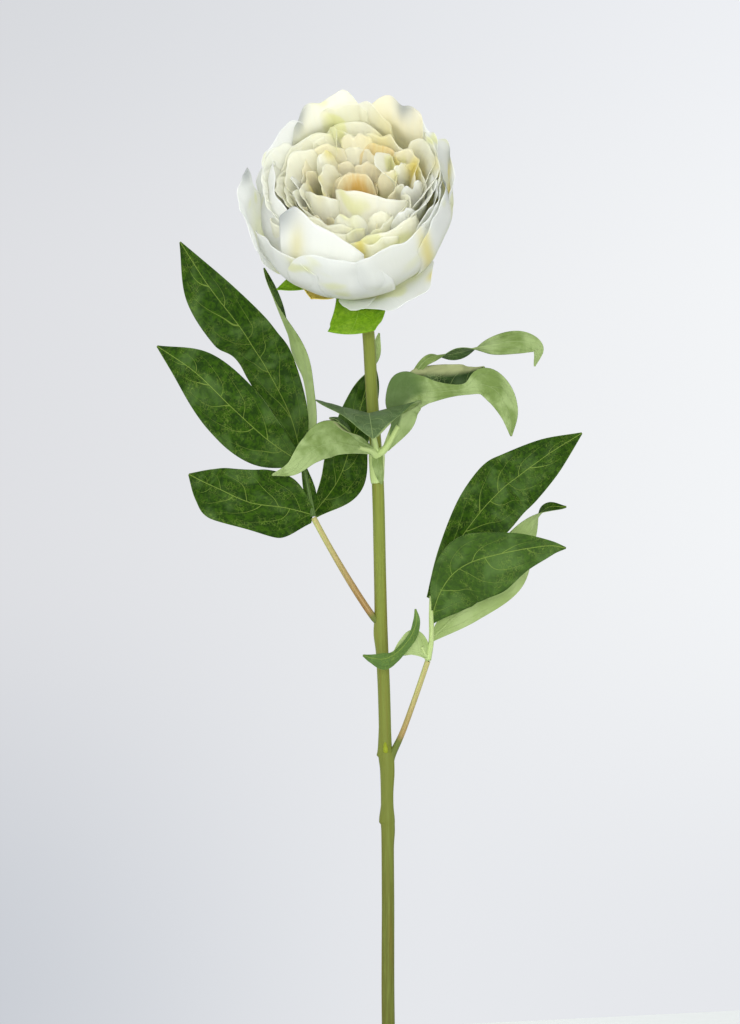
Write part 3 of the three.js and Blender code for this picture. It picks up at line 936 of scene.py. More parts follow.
@dataclass(frozen=True)
class Petal:
    """What every petal of the flower has.

    half is half its width, tall its tip's height, skew how much higher one corner stands than the other
    and tilt how much further out, frill its rim's wave, notch the depth of its cleft, curl how far its rim
    rolls out, corners how rounded its rim is, ragged how torn, and dusk where on its rim, from -1 to 1,
    painted shade greys it, if anywhere.
    """

    half: float
    tall: float
    skew: float = 0.0
    frill: float = 1.5
    notch: float = 0.05
    curl: float = 0.0
    corners: float = 0.16
    ragged: float = 0.01
    tilt: float = 0.0
    tone: PetalTone = PetalTone.WHITE
    rim_shade: Union[float, None] = None
    # How wide the cleft and the painted shade on the rim are, in shares of half the rim, how wide the root
    # is, in shares of the petal, how far up the petal is widest, and how high the pleats are
    CLEFT_WIDTH = 0.22
    RIM_SHADE_WIDTH = 0.3
    ROOT_WIDTH = 0.16
    WIDEST = 0.6
    PLEATS = 0.16

    def spine(self, t: Array) -> tuple[Array, Array, Array]:
        """Its middle line: points, the headings of its outer face in radians, and its hollow's radii."""
        raise NotImplementedError

    def surface(self, u: Array, v: Array, roll: Dice) -> tuple[Array, Marks]:
        """Its middle surface.

        Args:
            u: places across it, from -1 to 1.
            v: places along it, from 0 to 1.
            roll: the draws for its wave and cleft.

        Returns:
            Points in the flower's frame, and the petal's marks there.
        """
        phase, waves, shift = 3 * roll(), 2.2 + 0.5 * roll(), 0.15 * roll()
        # Its outline: how far each line along it reaches, and how wide it is there
        corner = self.corners * np.abs(u) ** 2.6
        cleft = self.notch * hump(u, shift, self.CLEFT_WIDTH)
        tears = np.sin(4.3 * u + 5 * phase) + 0.5 * np.sin(9 * u + 9 * phase) + 0.2 * np.sin(19 * u - phase)
        t = v * (1 - (corner + cleft + self.ragged * tears * v**3) * v)
        line, heading, hollow = self.spine(t)
        filled = np.sin(np.pi / 2 * np.minimum(1, t / self.WIDEST))
        wide = self.half * (self.ROOT_WIDTH + (1 - self.ROOT_WIDTH) * filled)
        # Its relief: the rim's wave, a slanting crease, fine pleats and the rim's roll
        ripple = self.frill * t * t * (0.35 + 0.65 * np.abs(u)) * np.sin(waves * np.pi * u + phase)
        crease = 0.3 * self.frill * t * np.sin(2.3 * np.pi * t + 3 * u + phase) * np.cos(1.7 * u + waves)
        pleats = self.PLEATS * t * t * np.sin(15 * u + 2 * np.sin(3 * t + phase) + 4 * phase)
        roll_out = self.curl * ease((t - 0.7) / 0.3) ** 1.6
        reach = hollow + ripple + crease + pleats
        turn = u * wide / hollow
        depth = reach * np.cos(turn) - hollow + roll_out + self.tilt * u * t * t
        right, up = swung(depth, reach * np.sin(turn), heading)
        height = line[..., 2] + self.skew * u * t * t + 0.4 * ripple * v - 0.3 * roll_out
        points = np.stack([line[..., 0] + right, line[..., 1] + up, height], axis=-1)
        # Where painted shade greys the rim
        rim_shade = 0.0
        if self.rim_shade is not None:
            rim_shade = hump(u, self.rim_shade, self.RIM_SHADE_WIDTH) * ease((v - 0.8) / 0.2)
        return points, {"rise": t, "side": u * wide, "warmth": self.tone.value, "rim_shade": rim_shade}


@dataclass(frozen=True)
class Guard(Petal):
    """An outer petal, which runs out from the heel, up round the bowl and on to the tip.

    azimuth is counted from the right, belly is its widest radius and tip its tip's radius.
    """

    azimuth: float = 0.0
    belly: float = 50.0
    tip: float = 50.0

    def spine(self, t: Array) -> tuple[Array, Array, Array]:
        """Its middle line.

        Args:
            t: places along it, from 0 to 1.

        Returns:
            Its points, the headings of its outer face in radians, and its hollow's radii.
        """
        profile = (
            (5, 0),
            (0.5 * self.belly, 0.04 * self.tall),
            (0.84 * self.belly, 0.2 * self.tall),
            (self.belly, 0.5 * self.tall),
            (self.belly + 0.5 * (self.tip - self.belly), 0.77 * self.tall),
            (self.tip, self.tall),
        )
        values = run(profile, t)
        r, z = values[..., 0], values[..., 1]
        heading = np.full_like(t, math.radians(self.azimuth))
        line = np.stack([r * np.cos(heading), r * np.sin(heading), z], axis=-1)
        return line, heading, np.maximum(r, 0.7 * self.half)


@dataclass(frozen=True)
class Fold(Petal):
    """An inner petal, given by where the middle of its rim stands.

    right and up are that place, as a viewer in front of the flower sees it. faces is the heading of its
    outer face, lean how far its rim stands out beyond its waist that way, and cup the radius of its
    hollow.
    """

    notch: float = 0.02
    corners: float = 0.1
    right: float = 0.0
    up: float = 0.0
    faces: float = 0.0
    lean: float = 0.0
    cup: float = 14.0

    def spine(self, t: Array) -> tuple[Array, Array, Array]:
        """Its middle line.

        Args:
            t: places along it, from 0 to 1.

        Returns:
            Its points, the headings of its outer face in radians, and its hollow's radii.
        """
        heading = math.radians(self.faces)
        out = np.array([math.cos(heading), math.sin(heading)])
        rim = np.array([self.right, self.up])
        waist = rim - self.lean * out
        stations = (
            (*(0.3 * waist), 6),
            (*(0.74 * waist), 0.16 * self.tall),
            (*(0.95 * waist), 0.38 * self.tall),
            (*waist, 0.62 * self.tall),
            (*(waist + 0.42 * (rim - waist)), 0.83 * self.tall),
            (*rim, self.tall),
        )
        return run(stations, t), np.full_like(t, heading), np.full_like(t, self.cup)


WHITE, PEARL, IVORY = PetalTone.WHITE, PetalTone.PEARL, PetalTone.IVORY
CREAM, TAN = PetalTone.CREAM, PetalTone.TAN

# Petals that show from outside: half, tall, skew and frill, and the rest by name
OUTER_PETALS = (
    # Low ones that spread under the bowl
    Guard(11, 19, 0, 0.8, 0.0, azimuth=275, belly=47, tip=59.5, corners=0.4),
    Guard(27, 21, 2, 3, 0.05, azimuth=304, belly=50, tip=66, corners=0.3, ragged=0.03),
    # Behind, lower than the rest
    Guard(32, 52, 2, 2, azimuth=46, belly=55, tip=54),
    Guard(33, 54, -2, 2, azimuth=90, belly=55, tip=54),
    Guard(33, 50, 2, 2, azimuth=132, belly=56, tip=54),
    # The bowl's front and its sides
    Guard(27, 58, 3, 2, 0.02, azimuth=229, belly=55.5, tip=55, corners=0.2, curl=1),
    Guard(31, 65, -8, 1.6, 0, azimuth=268, belly=56.5, tip=55.5, corners=0.32, ragged=0.005),
    Guard(26, 61, -6, 2.5, azimuth=191, belly=58, tip=59, curl=2, rim_shade=-0.8),
    Guard(26, 80, -11, 1.8, 0.02, azimuth=257, belly=54.5, tip=42, tilt=5, rim_shade=-0.85, corners=0.17),
    Guard(30, 73, -2, 1.5, azimuth=196, belly=51.5, tip=38, corners=0.24),
    Guard(29, 65, -4, 2.4, azimuth=308, belly=56, tip=54, curl=1.5),
    Guard(25, 60, 3, 2.6, azimuth=343, belly=57, tip=57, rim_shade=0.7),
    Guard(21, 65, 0, 2.4, azimuth=16, belly=57, tip=60, curl=2, rim_shade=0.0),
    # Those that stand tall round the mouth
    Guard(20, 69, 0, 1.5, azimuth=18, belly=52, tip=54, tone=PEARL),
    Guard(19, 69, 0, 1.5, azimuth=33, belly=52, tip=54, curl=2),
    Guard(23, 73, -3, 2.8, curl=5, azimuth=60, belly=50, tip=52, tone=CREAM, rim_shade=-0.2),
    Guard(21, 71, 0, 2.6, azimuth=86, belly=48, tip=48, tone=IVORY),
    Guard(24, 74, -3, 2.8, curl=5, azimuth=107, belly=49, tip=48, tone=IVORY, rim_shade=0.7),
    Guard(26, 71, -5, 2.6, azimuth=155, belly=49, tip=46, curl=2),
)
# Petals that stand out in the mouth, written the same way
INNER_PETALS = (
    # The broad one that curls over the heart, and the heart-shaped one in front of it
    Fold(23, 62, -8, 2.2, 0.0, 2, right=16, up=-8, faces=268, lean=-10, cup=40, corners=0.14, tone=PEARL),
    Fold(11, 58, 0, 0.6, 0.06, right=3, up=-20, faces=270, lean=-6, cup=18, corners=0.26, tone=PEARL),
    Fold(9, 56, 2, 1, right=19, up=-18, faces=285, lean=-6, cup=14, corners=0.26, tone=IVORY),
    Fold(9, 60, 2, 1, 0.02, 2, right=33, up=-18, faces=300, lean=-4, cup=12, corners=0.26, tone=WHITE),
    Fold(16, 57, -2, 2, right=-10, up=-25, faces=255, lean=-7, cup=22, tone=IVORY),
    Fold(20, 58, 0, 2, right=27, up=-31, faces=300, lean=-6, cup=30, tone=IVORY),
    # The right of the mouth
    Fold(9, 60, 0, 0.8, 0.16, 1, right=37, up=1, faces=300, lean=-3, cup=12, corners=0.3, tone=WHITE),
    Fold(12, 62, 0, 0.6, 0.0, 1.5, right=17, up=14, faces=190, lean=6, cup=12, corners=0.3, tone=PEARL),
    Fold(
        7, 58, 2, 1, 0.04, right=29, up=13, faces=300, lean=-2, cup=12, ragged=0.03, corners=0.3,
        tone=PEARL,
    ),
    Fold(17, 62, 0, 1.5, right=49, up=19, faces=20, lean=9, cup=22, tone=IVORY),
    Fold(14, 58, 0, 1.5, right=39, up=19, faces=28, lean=8, cup=16, corners=0.12, tone=CREAM),
    Fold(18, 63, 0, 1.5, right=53, up=2, faces=350, lean=11, cup=26, tone=PEARL),
    Fold(16, 61, 0, 1.5, right=48, up=-15, faces=330, lean=8, cup=24, tone=PEARL),
    # The far side
    Fold(9, 58, 0, 0.8, 0.06, right=3, up=35, faces=90, lean=7, cup=-30, tone=CREAM),
    Fold(9, 60, 0, 1, right=-8, up=37, faces=25, lean=3, cup=12, corners=0.3, tone=PEARL),
    Fold(18, 54, 2, 1, 0.0, right=2, up=46, faces=88, lean=9, cup=34, tone=IVORY),
    # Tan inside, partly its own colour and partly painted shade
    Fold(15, 52, 0, 1.5, right=20, up=30, faces=65, lean=6, cup=20, tone=TAN),
    Fold(7, 58, 0, 0.8, right=-15, up=23, faces=120, lean=5, cup=-14, corners=0.3, tone=PEARL),
    Fold(15, 54, 0, 1, 0.0, right=-20, up=28, faces=125, lean=7, cup=24, tone=CREAM),
    Fold(20, 56, 0, 1, 0.0, right=-30, up=31, faces=134, lean=8, cup=32, corners=0.06, tone=IVORY),
    # The left of the mouth, where folds stand close together
    Fold(19, 64, 0, 1, right=-47, up=13, faces=166, lean=11, cup=36, tone=PEARL),
    Fold(7, 62, 0, 0.8, right=-31, up=2, faces=200, lean=4, cup=9, corners=0.4, tone=WHITE),
    Fold(16, 60, 0, 1.2, right=-34, up=16, faces=158, lean=9, cup=24, tone=IVORY),
    Fold(12, 57, 0, 1, right=-16, up=8, faces=172, lean=4, cup=16, corners=0.14, tone=IVORY),
    Fold(13, 52, 0, 1, right=4, up=12, faces=90, lean=5, cup=15, corners=0.12, tone=CREAM),
    Fold(13, 60, 3, 1, right=-15, up=-8, faces=245, lean=-4, cup=16, corners=0.14, tone=PEARL),
    Fold(15, 61, 0, 1.2, right=-31, up=-14, faces=215, lean=6, cup=22, tone=IVORY),
    Fold(17, 64, 0, 1.2, right=-47, up=-4, faces=190, lean=11, cup=28, tone=PEARL),
    Fold(14, 62, 0, 1.2, right=-39, up=-6, faces=198, lean=9, cup=20, corners=0.14, tone=IVORY),
    Fold(16, 64, 0, 1.2, right=-42, up=-19, faces=208, lean=6, cup=26, tone=PEARL),
    Fold(17, 60, 0, 1.5, right=-13, up=-32, faces=255, lean=-6, cup=28, tone=IVORY),
)
# Petals deep in the gaps between them, which are drawn last
DEEP_PETALS = (
    Fold(15, 62, 0, 1.5, right=52, up=-8, faces=342, lean=11, cup=24, tone=WHITE),
    Fold(17, 61, 0, 1.5, right=52.5, up=-13, faces=345, lean=5, cup=30, tone=WHITE),
    Fold(10, 58, 0, 1, right=-26, up=-4, faces=190, lean=4, cup=14, corners=0.2, tone=IVORY),
    Fold(8, 57, 0, 1, right=23.5, up=9.5, faces=285, lean=-2, cup=12, corners=0.25, tone=CREAM),
    Fold(16, 62, 0, 1.2, right=54.3, up=-14.5, faces=345, lean=4, cup=34, tone=WHITE),
    Fold(11, 61, 0, 1, right=-28, up=-11, faces=205, lean=5, cup=16, corners=0.2, tone=PEARL),
)
# Rings of petals that fill the heart behind them: count, first azimuth, half, radius, tall and tone
HEART_RINGS = (
    (9, 20, 16, 43, 57, IVORY),
    (8, 40, 13, 34, 54, IVORY),
    (7, 5, 11, 26, 50, CREAM),
    (6, 20, 10, 18, 46, CREAM),
    (4, 50, 8, 9, 41, CREAM),
)
# Yellow flushes: how far right and up in the flower they lie, how wide they are and how strong
FLUSHES = (
    (-19, 6, 3.5, 0.7), (-13, -5, 3.5, 0.6), (-12.5, 25, 3, 0.6), (37, 15, 4, 0.8), (11, -40, 3.5, 0.7),
    (48, -36, 4, 0.6), (-24, -42, 5, 0.3), (56, 12, 5, 0.5), (18, 36, 8, 0.3),
)


def glow(points: Array, flush: Flush) -> Array:
    """How strongly a flush colours the petals.

    Args:
        points: places in the flower's frame.
        flush: the flush, written as FLUSHES has it.

    Returns:
        Its strength at each place.
    """
    right, up, width, strength = flush
    away = (points[..., 0] - right) ** 2 + (points[..., 1] - up) ** 2
    return strength * np.exp(-away / width**2)


@dataclass
class Bloom:
    """The flower: its petals and the heel that they are rooted in.

    root is where it sits and faces where it looks. hollow, written as the flushes are, is the place in its
    heart where the petals warm to gold: partly their own yellow, partly painted shade of the deep hollow. A
    petal's cells are counted across and along it.
    """

    root: Point = (-21.2, 24, 657)
    faces: Point = (-0.13, -0.86, 0.49)
    thickness: float = 0.34
    ruffle_seed: int = 7
    hollow: Flush = (4, 1, 9, 0.75)
    outer_cells: tuple[int, int] = (36, 40)
    inner_cells: tuple[int, int] = (24, 27)
    heel: Stations = ((0, -1.1), (9.5, -1.1), (19, 2), (29, 6), (31, 10), (26, 18), (14, 24), (0, 26))
    heel_sides: int = 48

    def to_row(self, points: Array) -> Array:
        """Sets points where the flower sits.

        Args:
            points: places in the flower's frame.

        Returns:
            The same places in the row's frame.
        """
        axis = unit(np.array(self.faces))
        up = unit(np.array([0, 0, 1.0]) - axis * axis[2])
        right = np.cross(up, axis)
        return np.array(self.root) + points @ np.stack([right, up, axis])

    def add_petal(self, skin: Skin, petal: Petal, cells: tuple[int, int], roll: Dice) -> None:
        """Adds one petal, which thins to half towards its rim.

        Args:
            skin: the mesh that it goes into.
            petal: the petal.
            cells: how many cells it has across and along it.
            roll: the draws for its wave and cleft.
        """
        columns, rows = cells
        u, v = np.meshgrid(np.linspace(-1, 1, columns + 1), np.linspace(0, 1, rows + 1))
        points, marks = petal.surface(u, v, roll)
        marks["flush"] = sum(glow(points, flush) for flush in FLUSHES)
        # The gold in the hollow: partly the petals' own yellow, partly painted shade
        marks["warmth"] = marks["warmth"] + glow(points, self.hollow)
        skin.add_sheet(self.to_row(points), self.thickness * (1 - 0.5 * v**4), marks)

    def heart(self, roll: Dice) -> Iterator[Fold]:
        """Strews the petals that fill the heart.

        Args:
            roll: the draws that they take.

        Returns:
            The petals, whose rims all lean towards the light above.
        """
        for count, first, half, radius, tall, tone in HEART_RINGS:
            for i in range(count):
                azimuth = math.radians(first + 360 * i / count + 9 * roll())
                away = radius + 2 * roll()
                faces = math.degrees(azimuth) + 22 * roll()
                yield Fold(
                    half=half * (1 + 0.15 * roll()),
                    tall=tall + 2 * roll() - 3 * max(0.0, math.sin(azimuth)),
                    skew=3 * roll(),
                    frill=1.8,
                    notch=0.04,
                    corners=0.14,
                    tone=tone,
                    right=away * math.cos(azimuth),
                    up=away * math.sin(azimuth),
                    faces=faces,
                    lean=2 + 5 * math.sin(math.radians(faces)),
                    cup=16 + 5 * roll(),
                )

    def build(self) -> None:
        """Builds and dresses the petals, which draw from one dice in this order."""
        finish = PetalFinish().material()
        roll = Dice(self.ruffle_seed)
        outer, inner = Skin(), Skin()
        for petal in OUTER_PETALS:
            self.add_petal(outer, petal, self.outer_cells, roll)
        heel = {"rise": 0.2, "side": 0.0, "warmth": 0.8, "rim_shade": 0.0, "flush": 0.0, "under": 0.0}
        rings, ends = lathe(self.heel, self.heel_sides)
        outer.add_tube(self.to_row(rings), self.to_row(ends), heel)
        outer.piece("petals_outer", "petal", ["petals"], [finish])
        for petal in chain(INNER_PETALS, self.heart(roll), DEEP_PETALS):
            self.add_petal(inner, petal, self.inner_cells, roll)
        inner.piece("petals_inner", "petal", ["petals"], [finish])


# The calyx


@dataclass(frozen=True)
class Sepal:
    """A sepal that starts in the calyx and runs out under the petals.

    hug is how closely it follows the petals' backs, whose curve it knows, swing how far its tip turns
    round, in degrees, blunt how suddenly it narrows, left the share of its width that its left half keeps,
    and square the share that its end keeps.
    """

    azimuth: float
    reach: float
    half: float
    rise: float
    hug: float
    swing: float
    blunt: float
    left: float = 1.0
    square: float = 0.03
    aged: bool = False
    root: float = 8
    base: float = -3.4
    curve: float = 0.0045

    def surface(self, u: Array, v: Array) -> Array:
        """Its middle surface.

        Args:
            u: places across it, from -1 to 1.
            v: places along it, from 0 to 1.

        Returns:
            Points in the flower's frame.
        """
        radius = self.root + (self.reach - self.root) * v
        height = self.base + self.hug * self.curve * (radius - self.root) ** 2 + self.rise * v * v
        taper = np.maximum(1 - v**self.blunt, self.square) * np.where(u < 0, self.left, 1)
        wide = self.half * np.sin(np.pi / 2 * np.minimum(1, 0.25 + 1.5 * v)) * taper
        turn = u * wide / np.maximum(radius, 10)
        heading = np.radians(self.azimuth + self.swing * v**3)
        right, up = swung(radius * np.cos(turn), radius * np.sin(turn), heading)
        fold = 0.05 * self.half * u * u + 0.4 * np.sin(5 * v + 2 * u) * v
        return np.stack([right, up, height + fold], axis=-1)


@dataclass
class Calyx:
    """The cup under the flower with its sepals and the broad bract in front, which is the first."""

    bloom: Bloom
    thickness: float = 0.5
    cells: tuple[int, int] = (20, 30)
    cup: Stations = ((0, -10), (4.4, -10), (5.2, -7.4), (8.2, -4.6), (11.2, -3), (11.6, -1.6), (0, -1.5))
    cup_sides: int = 40
    sepals: tuple[Sepal, ...] = (
        Sepal(276, 66, 16.5, 8, 0, -6, 36, left=0.84, square=0.9),
        Sepal(236, 48, 16, 3, 0.6, 4, 8, aged=True),
        Sepal(222, 57, 9, 3, 0.5, -3, 4),
        Sepal(330, 42, 12, 1, 0.7, 2, 4),
        Sepal(30, 44, 13, 1, 0.7, 3, 5),
        Sepal(96, 46, 13, 1, 0.7, -3, 5),
        Sepal(160, 44, 12, 1, 0.7, 2, 4),
    )
    finish: LeafFinish = LeafFinish(
        "sepal",
        dark=(96, 140, 22),
        light=(128, 168, 34),
        bloom=(142, 178, 60),
        vein=(150, 188, 70),
        back=(116, 158, 26),
        back_light=(138, 176, 44),
        laterals=7.0,
    )
    aged: LeafFinish = LeafFinish(
        "aged_sepal",
        dark=(206, 184, 84),
        light=(220, 204, 104),
        bloom=(214, 196, 108),
        vein=(228, 212, 128),
        back=(214, 194, 92),
        back_light=(226, 210, 118),
        laterals=7.0,
    )

    def build(self) -> None:
        """Builds and dresses the cup and the sepals."""
        skin = Skin()
        columns, rows = self.cells
        u, v = np.meshgrid(np.linspace(-1, 1, columns + 1), np.linspace(0, 1, rows + 1))
        plain = {"pale": 0.0, "shaded": 0.0}
        for number, sepal in enumerate(self.sepals):
            marks = {"along": v, "across": u, "long": v * sepal.reach, "wide": u * sepal.half, **plain}
            marks["seed"] = 3.0 * number + 40
            points = self.bloom.to_row(sepal.surface(u, v))
            skin.add_sheet(points, self.thickness, marks, finish=int(sepal.aged))
        cup = {"along": 0.3, "across": 0.3, "long": 4.0, "wide": 4.0, "seed": 90.0, "under": 1.0, **plain}
        rings, ends = lathe(self.cup, self.cup_sides)
        skin.add_tube(self.bloom.to_row(rings), self.bloom.to_row(ends), cup)
        skin.piece("cup_and_sepals", "sepal", ["calyx"], [self.finish.material(), self.aged.material()])


# Leaves


class Coat(IntEnum):
    """Which of its leaf's finishes a body takes."""

    BLADE = 0
    STALK = 1
    # The darker finish of hollows inside folded lobes, which is painted shade
    INSIDE = 2


@dataclass(frozen=True)
class Leaflet:
    """One leaflet's blade.

    A station of its midrib is x, y, z, the half widths to its left and right as it runs to the tip, and
    how far the blade is turned about it: 0 shows its upper face to a viewer who looks along seen, and 180
    its underside. A seventh number is how far its halves are folded up there, in place of fold. wave is
    its edges' wave, pale how much more painted sheen its upper face takes, shaded how far painted shade
    darkens the underside of its left half towards its root, and finish which of the leaf's finishes it
    takes. Its fold is rounded over soft, and between the side veins, quilts to a side, it rises by
    quilting.
    """

    stations: Stations
    fold: float
    wave: float
    seen: Point = (0, 1, 0)
    pale: float = 0.0
    shaded: float = 0.0
    finish: Coat = Coat.BLADE
    least_half: float = 0.4
    soft: float = 0.9
    quilts: float = 5.0
    quilting: float = 0.22

    def surface(self, u: Array, v: Array) -> tuple[Array, Array]:
        """Its middle surface.

        Args:
            u: places across it, from -1 to 1.
            v: places along it, from 0 to 1.

        Returns:
            Points, and its half width at each.
        """
        stations = [s if len(s) > 6 else (*s, self.fold) for s in self.stations]
        values = run(stations, v)
        near = 0.02
        ahead, behind = run(stations, np.minimum(v + near, 1)), run(stations, np.maximum(v - near, 0))
        along = unit(ahead[..., :3] - behind[..., :3])
        flat = unit(np.cross(along, np.array(self.seen, float)))
        turn = np.radians(values[..., 5])[..., None]
        across = flat * np.cos(turn) + np.cross(along, flat) * np.sin(turn)
        up = np.cross(along, across)
        half = np.maximum(np.where(u > 0, values[..., 3], values[..., 4]), self.least_half)
        off = np.abs(u)
        out = off * half
        bend = np.radians(values[..., 6])
        valley = np.sin(bend) * (np.sqrt(out**2 + self.soft**2) - self.soft)
        ripple = self.wave * u * u * np.sin(5 * np.pi * v + np.where(u > 0, 0, 2)) * np.sin(np.pi * v)
        between = np.cos(2 * np.pi * self.quilts * (v - VEIN_SLANT * off - VEIN_BOW * off**3))
        quilt = self.quilting * np.minimum(1, half / 10) * between * np.sin(np.pi * off) * np.sin(np.pi * v)
        points = (
            values[..., :3]
            + across * (np.sign(u) * out * np.cos(bend))[..., None]
            + up * (valley + ripple + quilt)[..., None]
        )
        return points, half

    def shade(self, u: Array, v: Array) -> Array:
        """How far painted shade darkens its underside at those places."""
        return self.shaded * (1 - ease((v - 0.3) / 0.15)) * ease((0.15 - u) / 0.3)


@dataclass(frozen=True)
class Leaf:
    """A compound leaf: leaflets on short stalks, and the stalk pieces between them.

    seed sets its blades' patterns apart from other leaves', and seed_step from each other's. Its midribs
    stand out below by rib, over rib_half to each side, and its cells are counted across and along a
    leaflet. They crowd towards the midrib by the power crowding.
    """

    name: str
    slot: str
    node: str
    leaflets: tuple[Leaflet, ...]
    stalks: tuple[Stations, ...]
    finish: LeafFinish
    stalk_finish: StemFinish
    sheath: Union[Stations, None] = None
    inner_finish: Union[LeafFinish, None] = None
    seed: float = 0.0
    seed_step: float = 7.3
    thickness: float = 0.42
    rib: float = 0.6
    rib_half: float = 0.9
    cells: tuple[int, int] = (36, 90)
    crowding: float = 1.4

    def build(self) -> None:
        """Builds and dresses the leaf, with cells that crowd towards the midribs."""
        skin = Skin()
        columns, rows = self.cells
        across = np.linspace(-1, 1, columns + 1)
        across = np.sign(across) * np.abs(across) ** self.crowding
        u, v = np.meshgrid(across, np.linspace(0, 1, rows + 1))
        for number, leaflet in enumerate(self.leaflets):
            points, half = leaflet.surface(u, v)
            ridge = np.sqrt(np.maximum(1 - (u * half / self.rib_half) ** 2, 0)) * self.rib * (1 - v)
            length = np.linalg.norm(np.diff(points[:, columns // 2], axis=0), axis=1).sum()
            marks = {
                "along": v,
                "across": u,
                "long": v * length,
                "wide": u * half,
                "seed": self.seed + self.seed_step * number,
                "pale": leaflet.pale,
                "shaded": leaflet.shade(u, v),
            }
            skin.add_sheet(points, self.thickness, marks, ridge, leaflet.finish)
        plain = {"long": 0.0, "wide": 0.0, "seed": self.seed, "pale": 0.0, "shaded": 0.0, "under": 0.0}
        for stations in self.stalks:
            Rod(stations, sides=16, steps=24).add_to(skin, plain, Coat.STALK)
        if self.sheath is not None:
            Rod(self.sheath, sides=28, steps=20).add_to(skin, plain, Coat.STALK)
        finishes = [self.finish, self.stalk_finish]
        if self.inner_finish is not None:
            finishes.append(self.inner_finish)
        skin.piece(self.name, self.slot, [self.node], [finish.material() for finish in finishes])


DARK_LEAF = LeafFinish(
    "leaf",
    dark=(28, 54, 4),
    light=(50, 82, 6),
    bloom=(94, 124, 62),
    vein=(136, 160, 70),
    back=(150, 172, 104),
    back_light=(170, 190, 126),
)
YOUNG_LEAF = LeafFinish(
    "young_leaf",
    dark=(60, 84, 40),
    light=(80, 106, 58),
    bloom=(104, 128, 84),
    vein=(156, 176, 112),
    back=(114, 136, 72),
    back_light=(156, 176, 116),
)
# A darker copy of the young leaf for the hollow of its folded lobe and its curled margin: painted shade,
# with a tan margin of its own
SHADED_POCKET_LEAF = replace(
    YOUNG_LEAF,
    name="shaded_pocket_leaf",
    dark=(34, 54, 22),
    light=(50, 74, 32),
    margin=(166, 172, 122),
)
GREEN_STALK = StemFinish(
    "green_stalk",
    low=(168, 188, 116),
    high=(158, 180, 110),
    streak=(184, 202, 142),
    blush=(182, 174, 122),
    blush_share=0.2,
)
DARK_STALK = StemFinish(
    "dark_stalk",
    low=(58, 82, 30),
    high=(66, 92, 38),
    streak=(112, 140, 72),
    blush=(84, 96, 44),
    blush_share=0.2,
)

LEFT_LEAFLETS = (
    Leaflet(
        (
            (-47.7, 12, 499, 5, 3, 0), (-63.6, 6, 503, 17.8, 18, 4), (-83.4, 0, 506, 15.5, 20, 2),
            (-101, -5.5, 513.8, 17.6, 13.3, 0), (-109.7, -9, 517.8, 11.2, 8.1, 0),
            (-117.8, -12, 522, 0.5, 0.5, 0),
        ),
        fold=10, wave=0.9,
    ),
    Leaflet(
        (
            (-53.2, 13.9, 528, 2, 2, 0), (-73.3, 4, 541.8, 17, 11.5, -6), (-93.5, -4, 560, 19, 17, 0),
            (-114.3, -10, 580, 13, 14, 4), (-135.5, -16, 594.6, 0.5, 0.5, 0),
        ),
        fold=12, wave=1.2,
    ),
    Leaflet(
        (
            (-53.3, 13.9, 528.5, 2, 2, 0), (-61.1, 20, 556.6, 11, 11, 10),
            (-74.2, 22, 582.5, 13, 17, 6), (-82.3, 22, 595.5, 12.5, 17, 0),
            (-90.4, 22, 608, 18.5, 15.5, -8), (-108.4, 20, 631.5, 15.5, 10, -4),
            (-124.2, 14, 656, 0.5, 0.5, 0),
        ),
        fold=14, wave=1.2,
    ),
    Leaflet(
        (
            (-53.1, 13.8, 527.5, 2, 2, 100), (-50.2, 25, 551, 8, 7, 108), (-52.6, 35, 575, 9, 10, 108),
            (-60.4, 41, 599, 8.5, 9.5, 112), (-70.3, 45, 623.4, 6, 7, 78),
            (-76.9, 46, 643.4, 0.5, 0.5, 40),
        ),
        fold=18, wave=0.8,
    ),
    Leaflet(
        (
            (-47.7, 12.1, 499, 2, 3, 0), (-33.4, 27, 519, 12, 15, 10), (-25.3, 34, 542.5, 14, 9.5, 14),
            (-18.6, 35, 568, 9, 9, 10), (-13, 33, 589, 5, 5, 110), (-9.5, 31, 604.5, 0.5, 0.5, 165),
        ),
        fold=16, wave=1.4,
    ),
    # The wing of the stalk between the lower and the upper leaflets
    Leaflet(
        ((-47.9, 12.6, 501, 1.5, 1.5, 0), (-49.6, 13, 512, 3.6, 3.8, 20), (-53.1, 13.8, 527, 1.5, 1.5, 0)),
        fold=4, wave=0,
    ),
)
LEFT_STALKS = (((-47.6, 12, 498, 1.9), (-50.4, 13, 513, 1.4), (-53.4, 14, 530, 1.2)),)
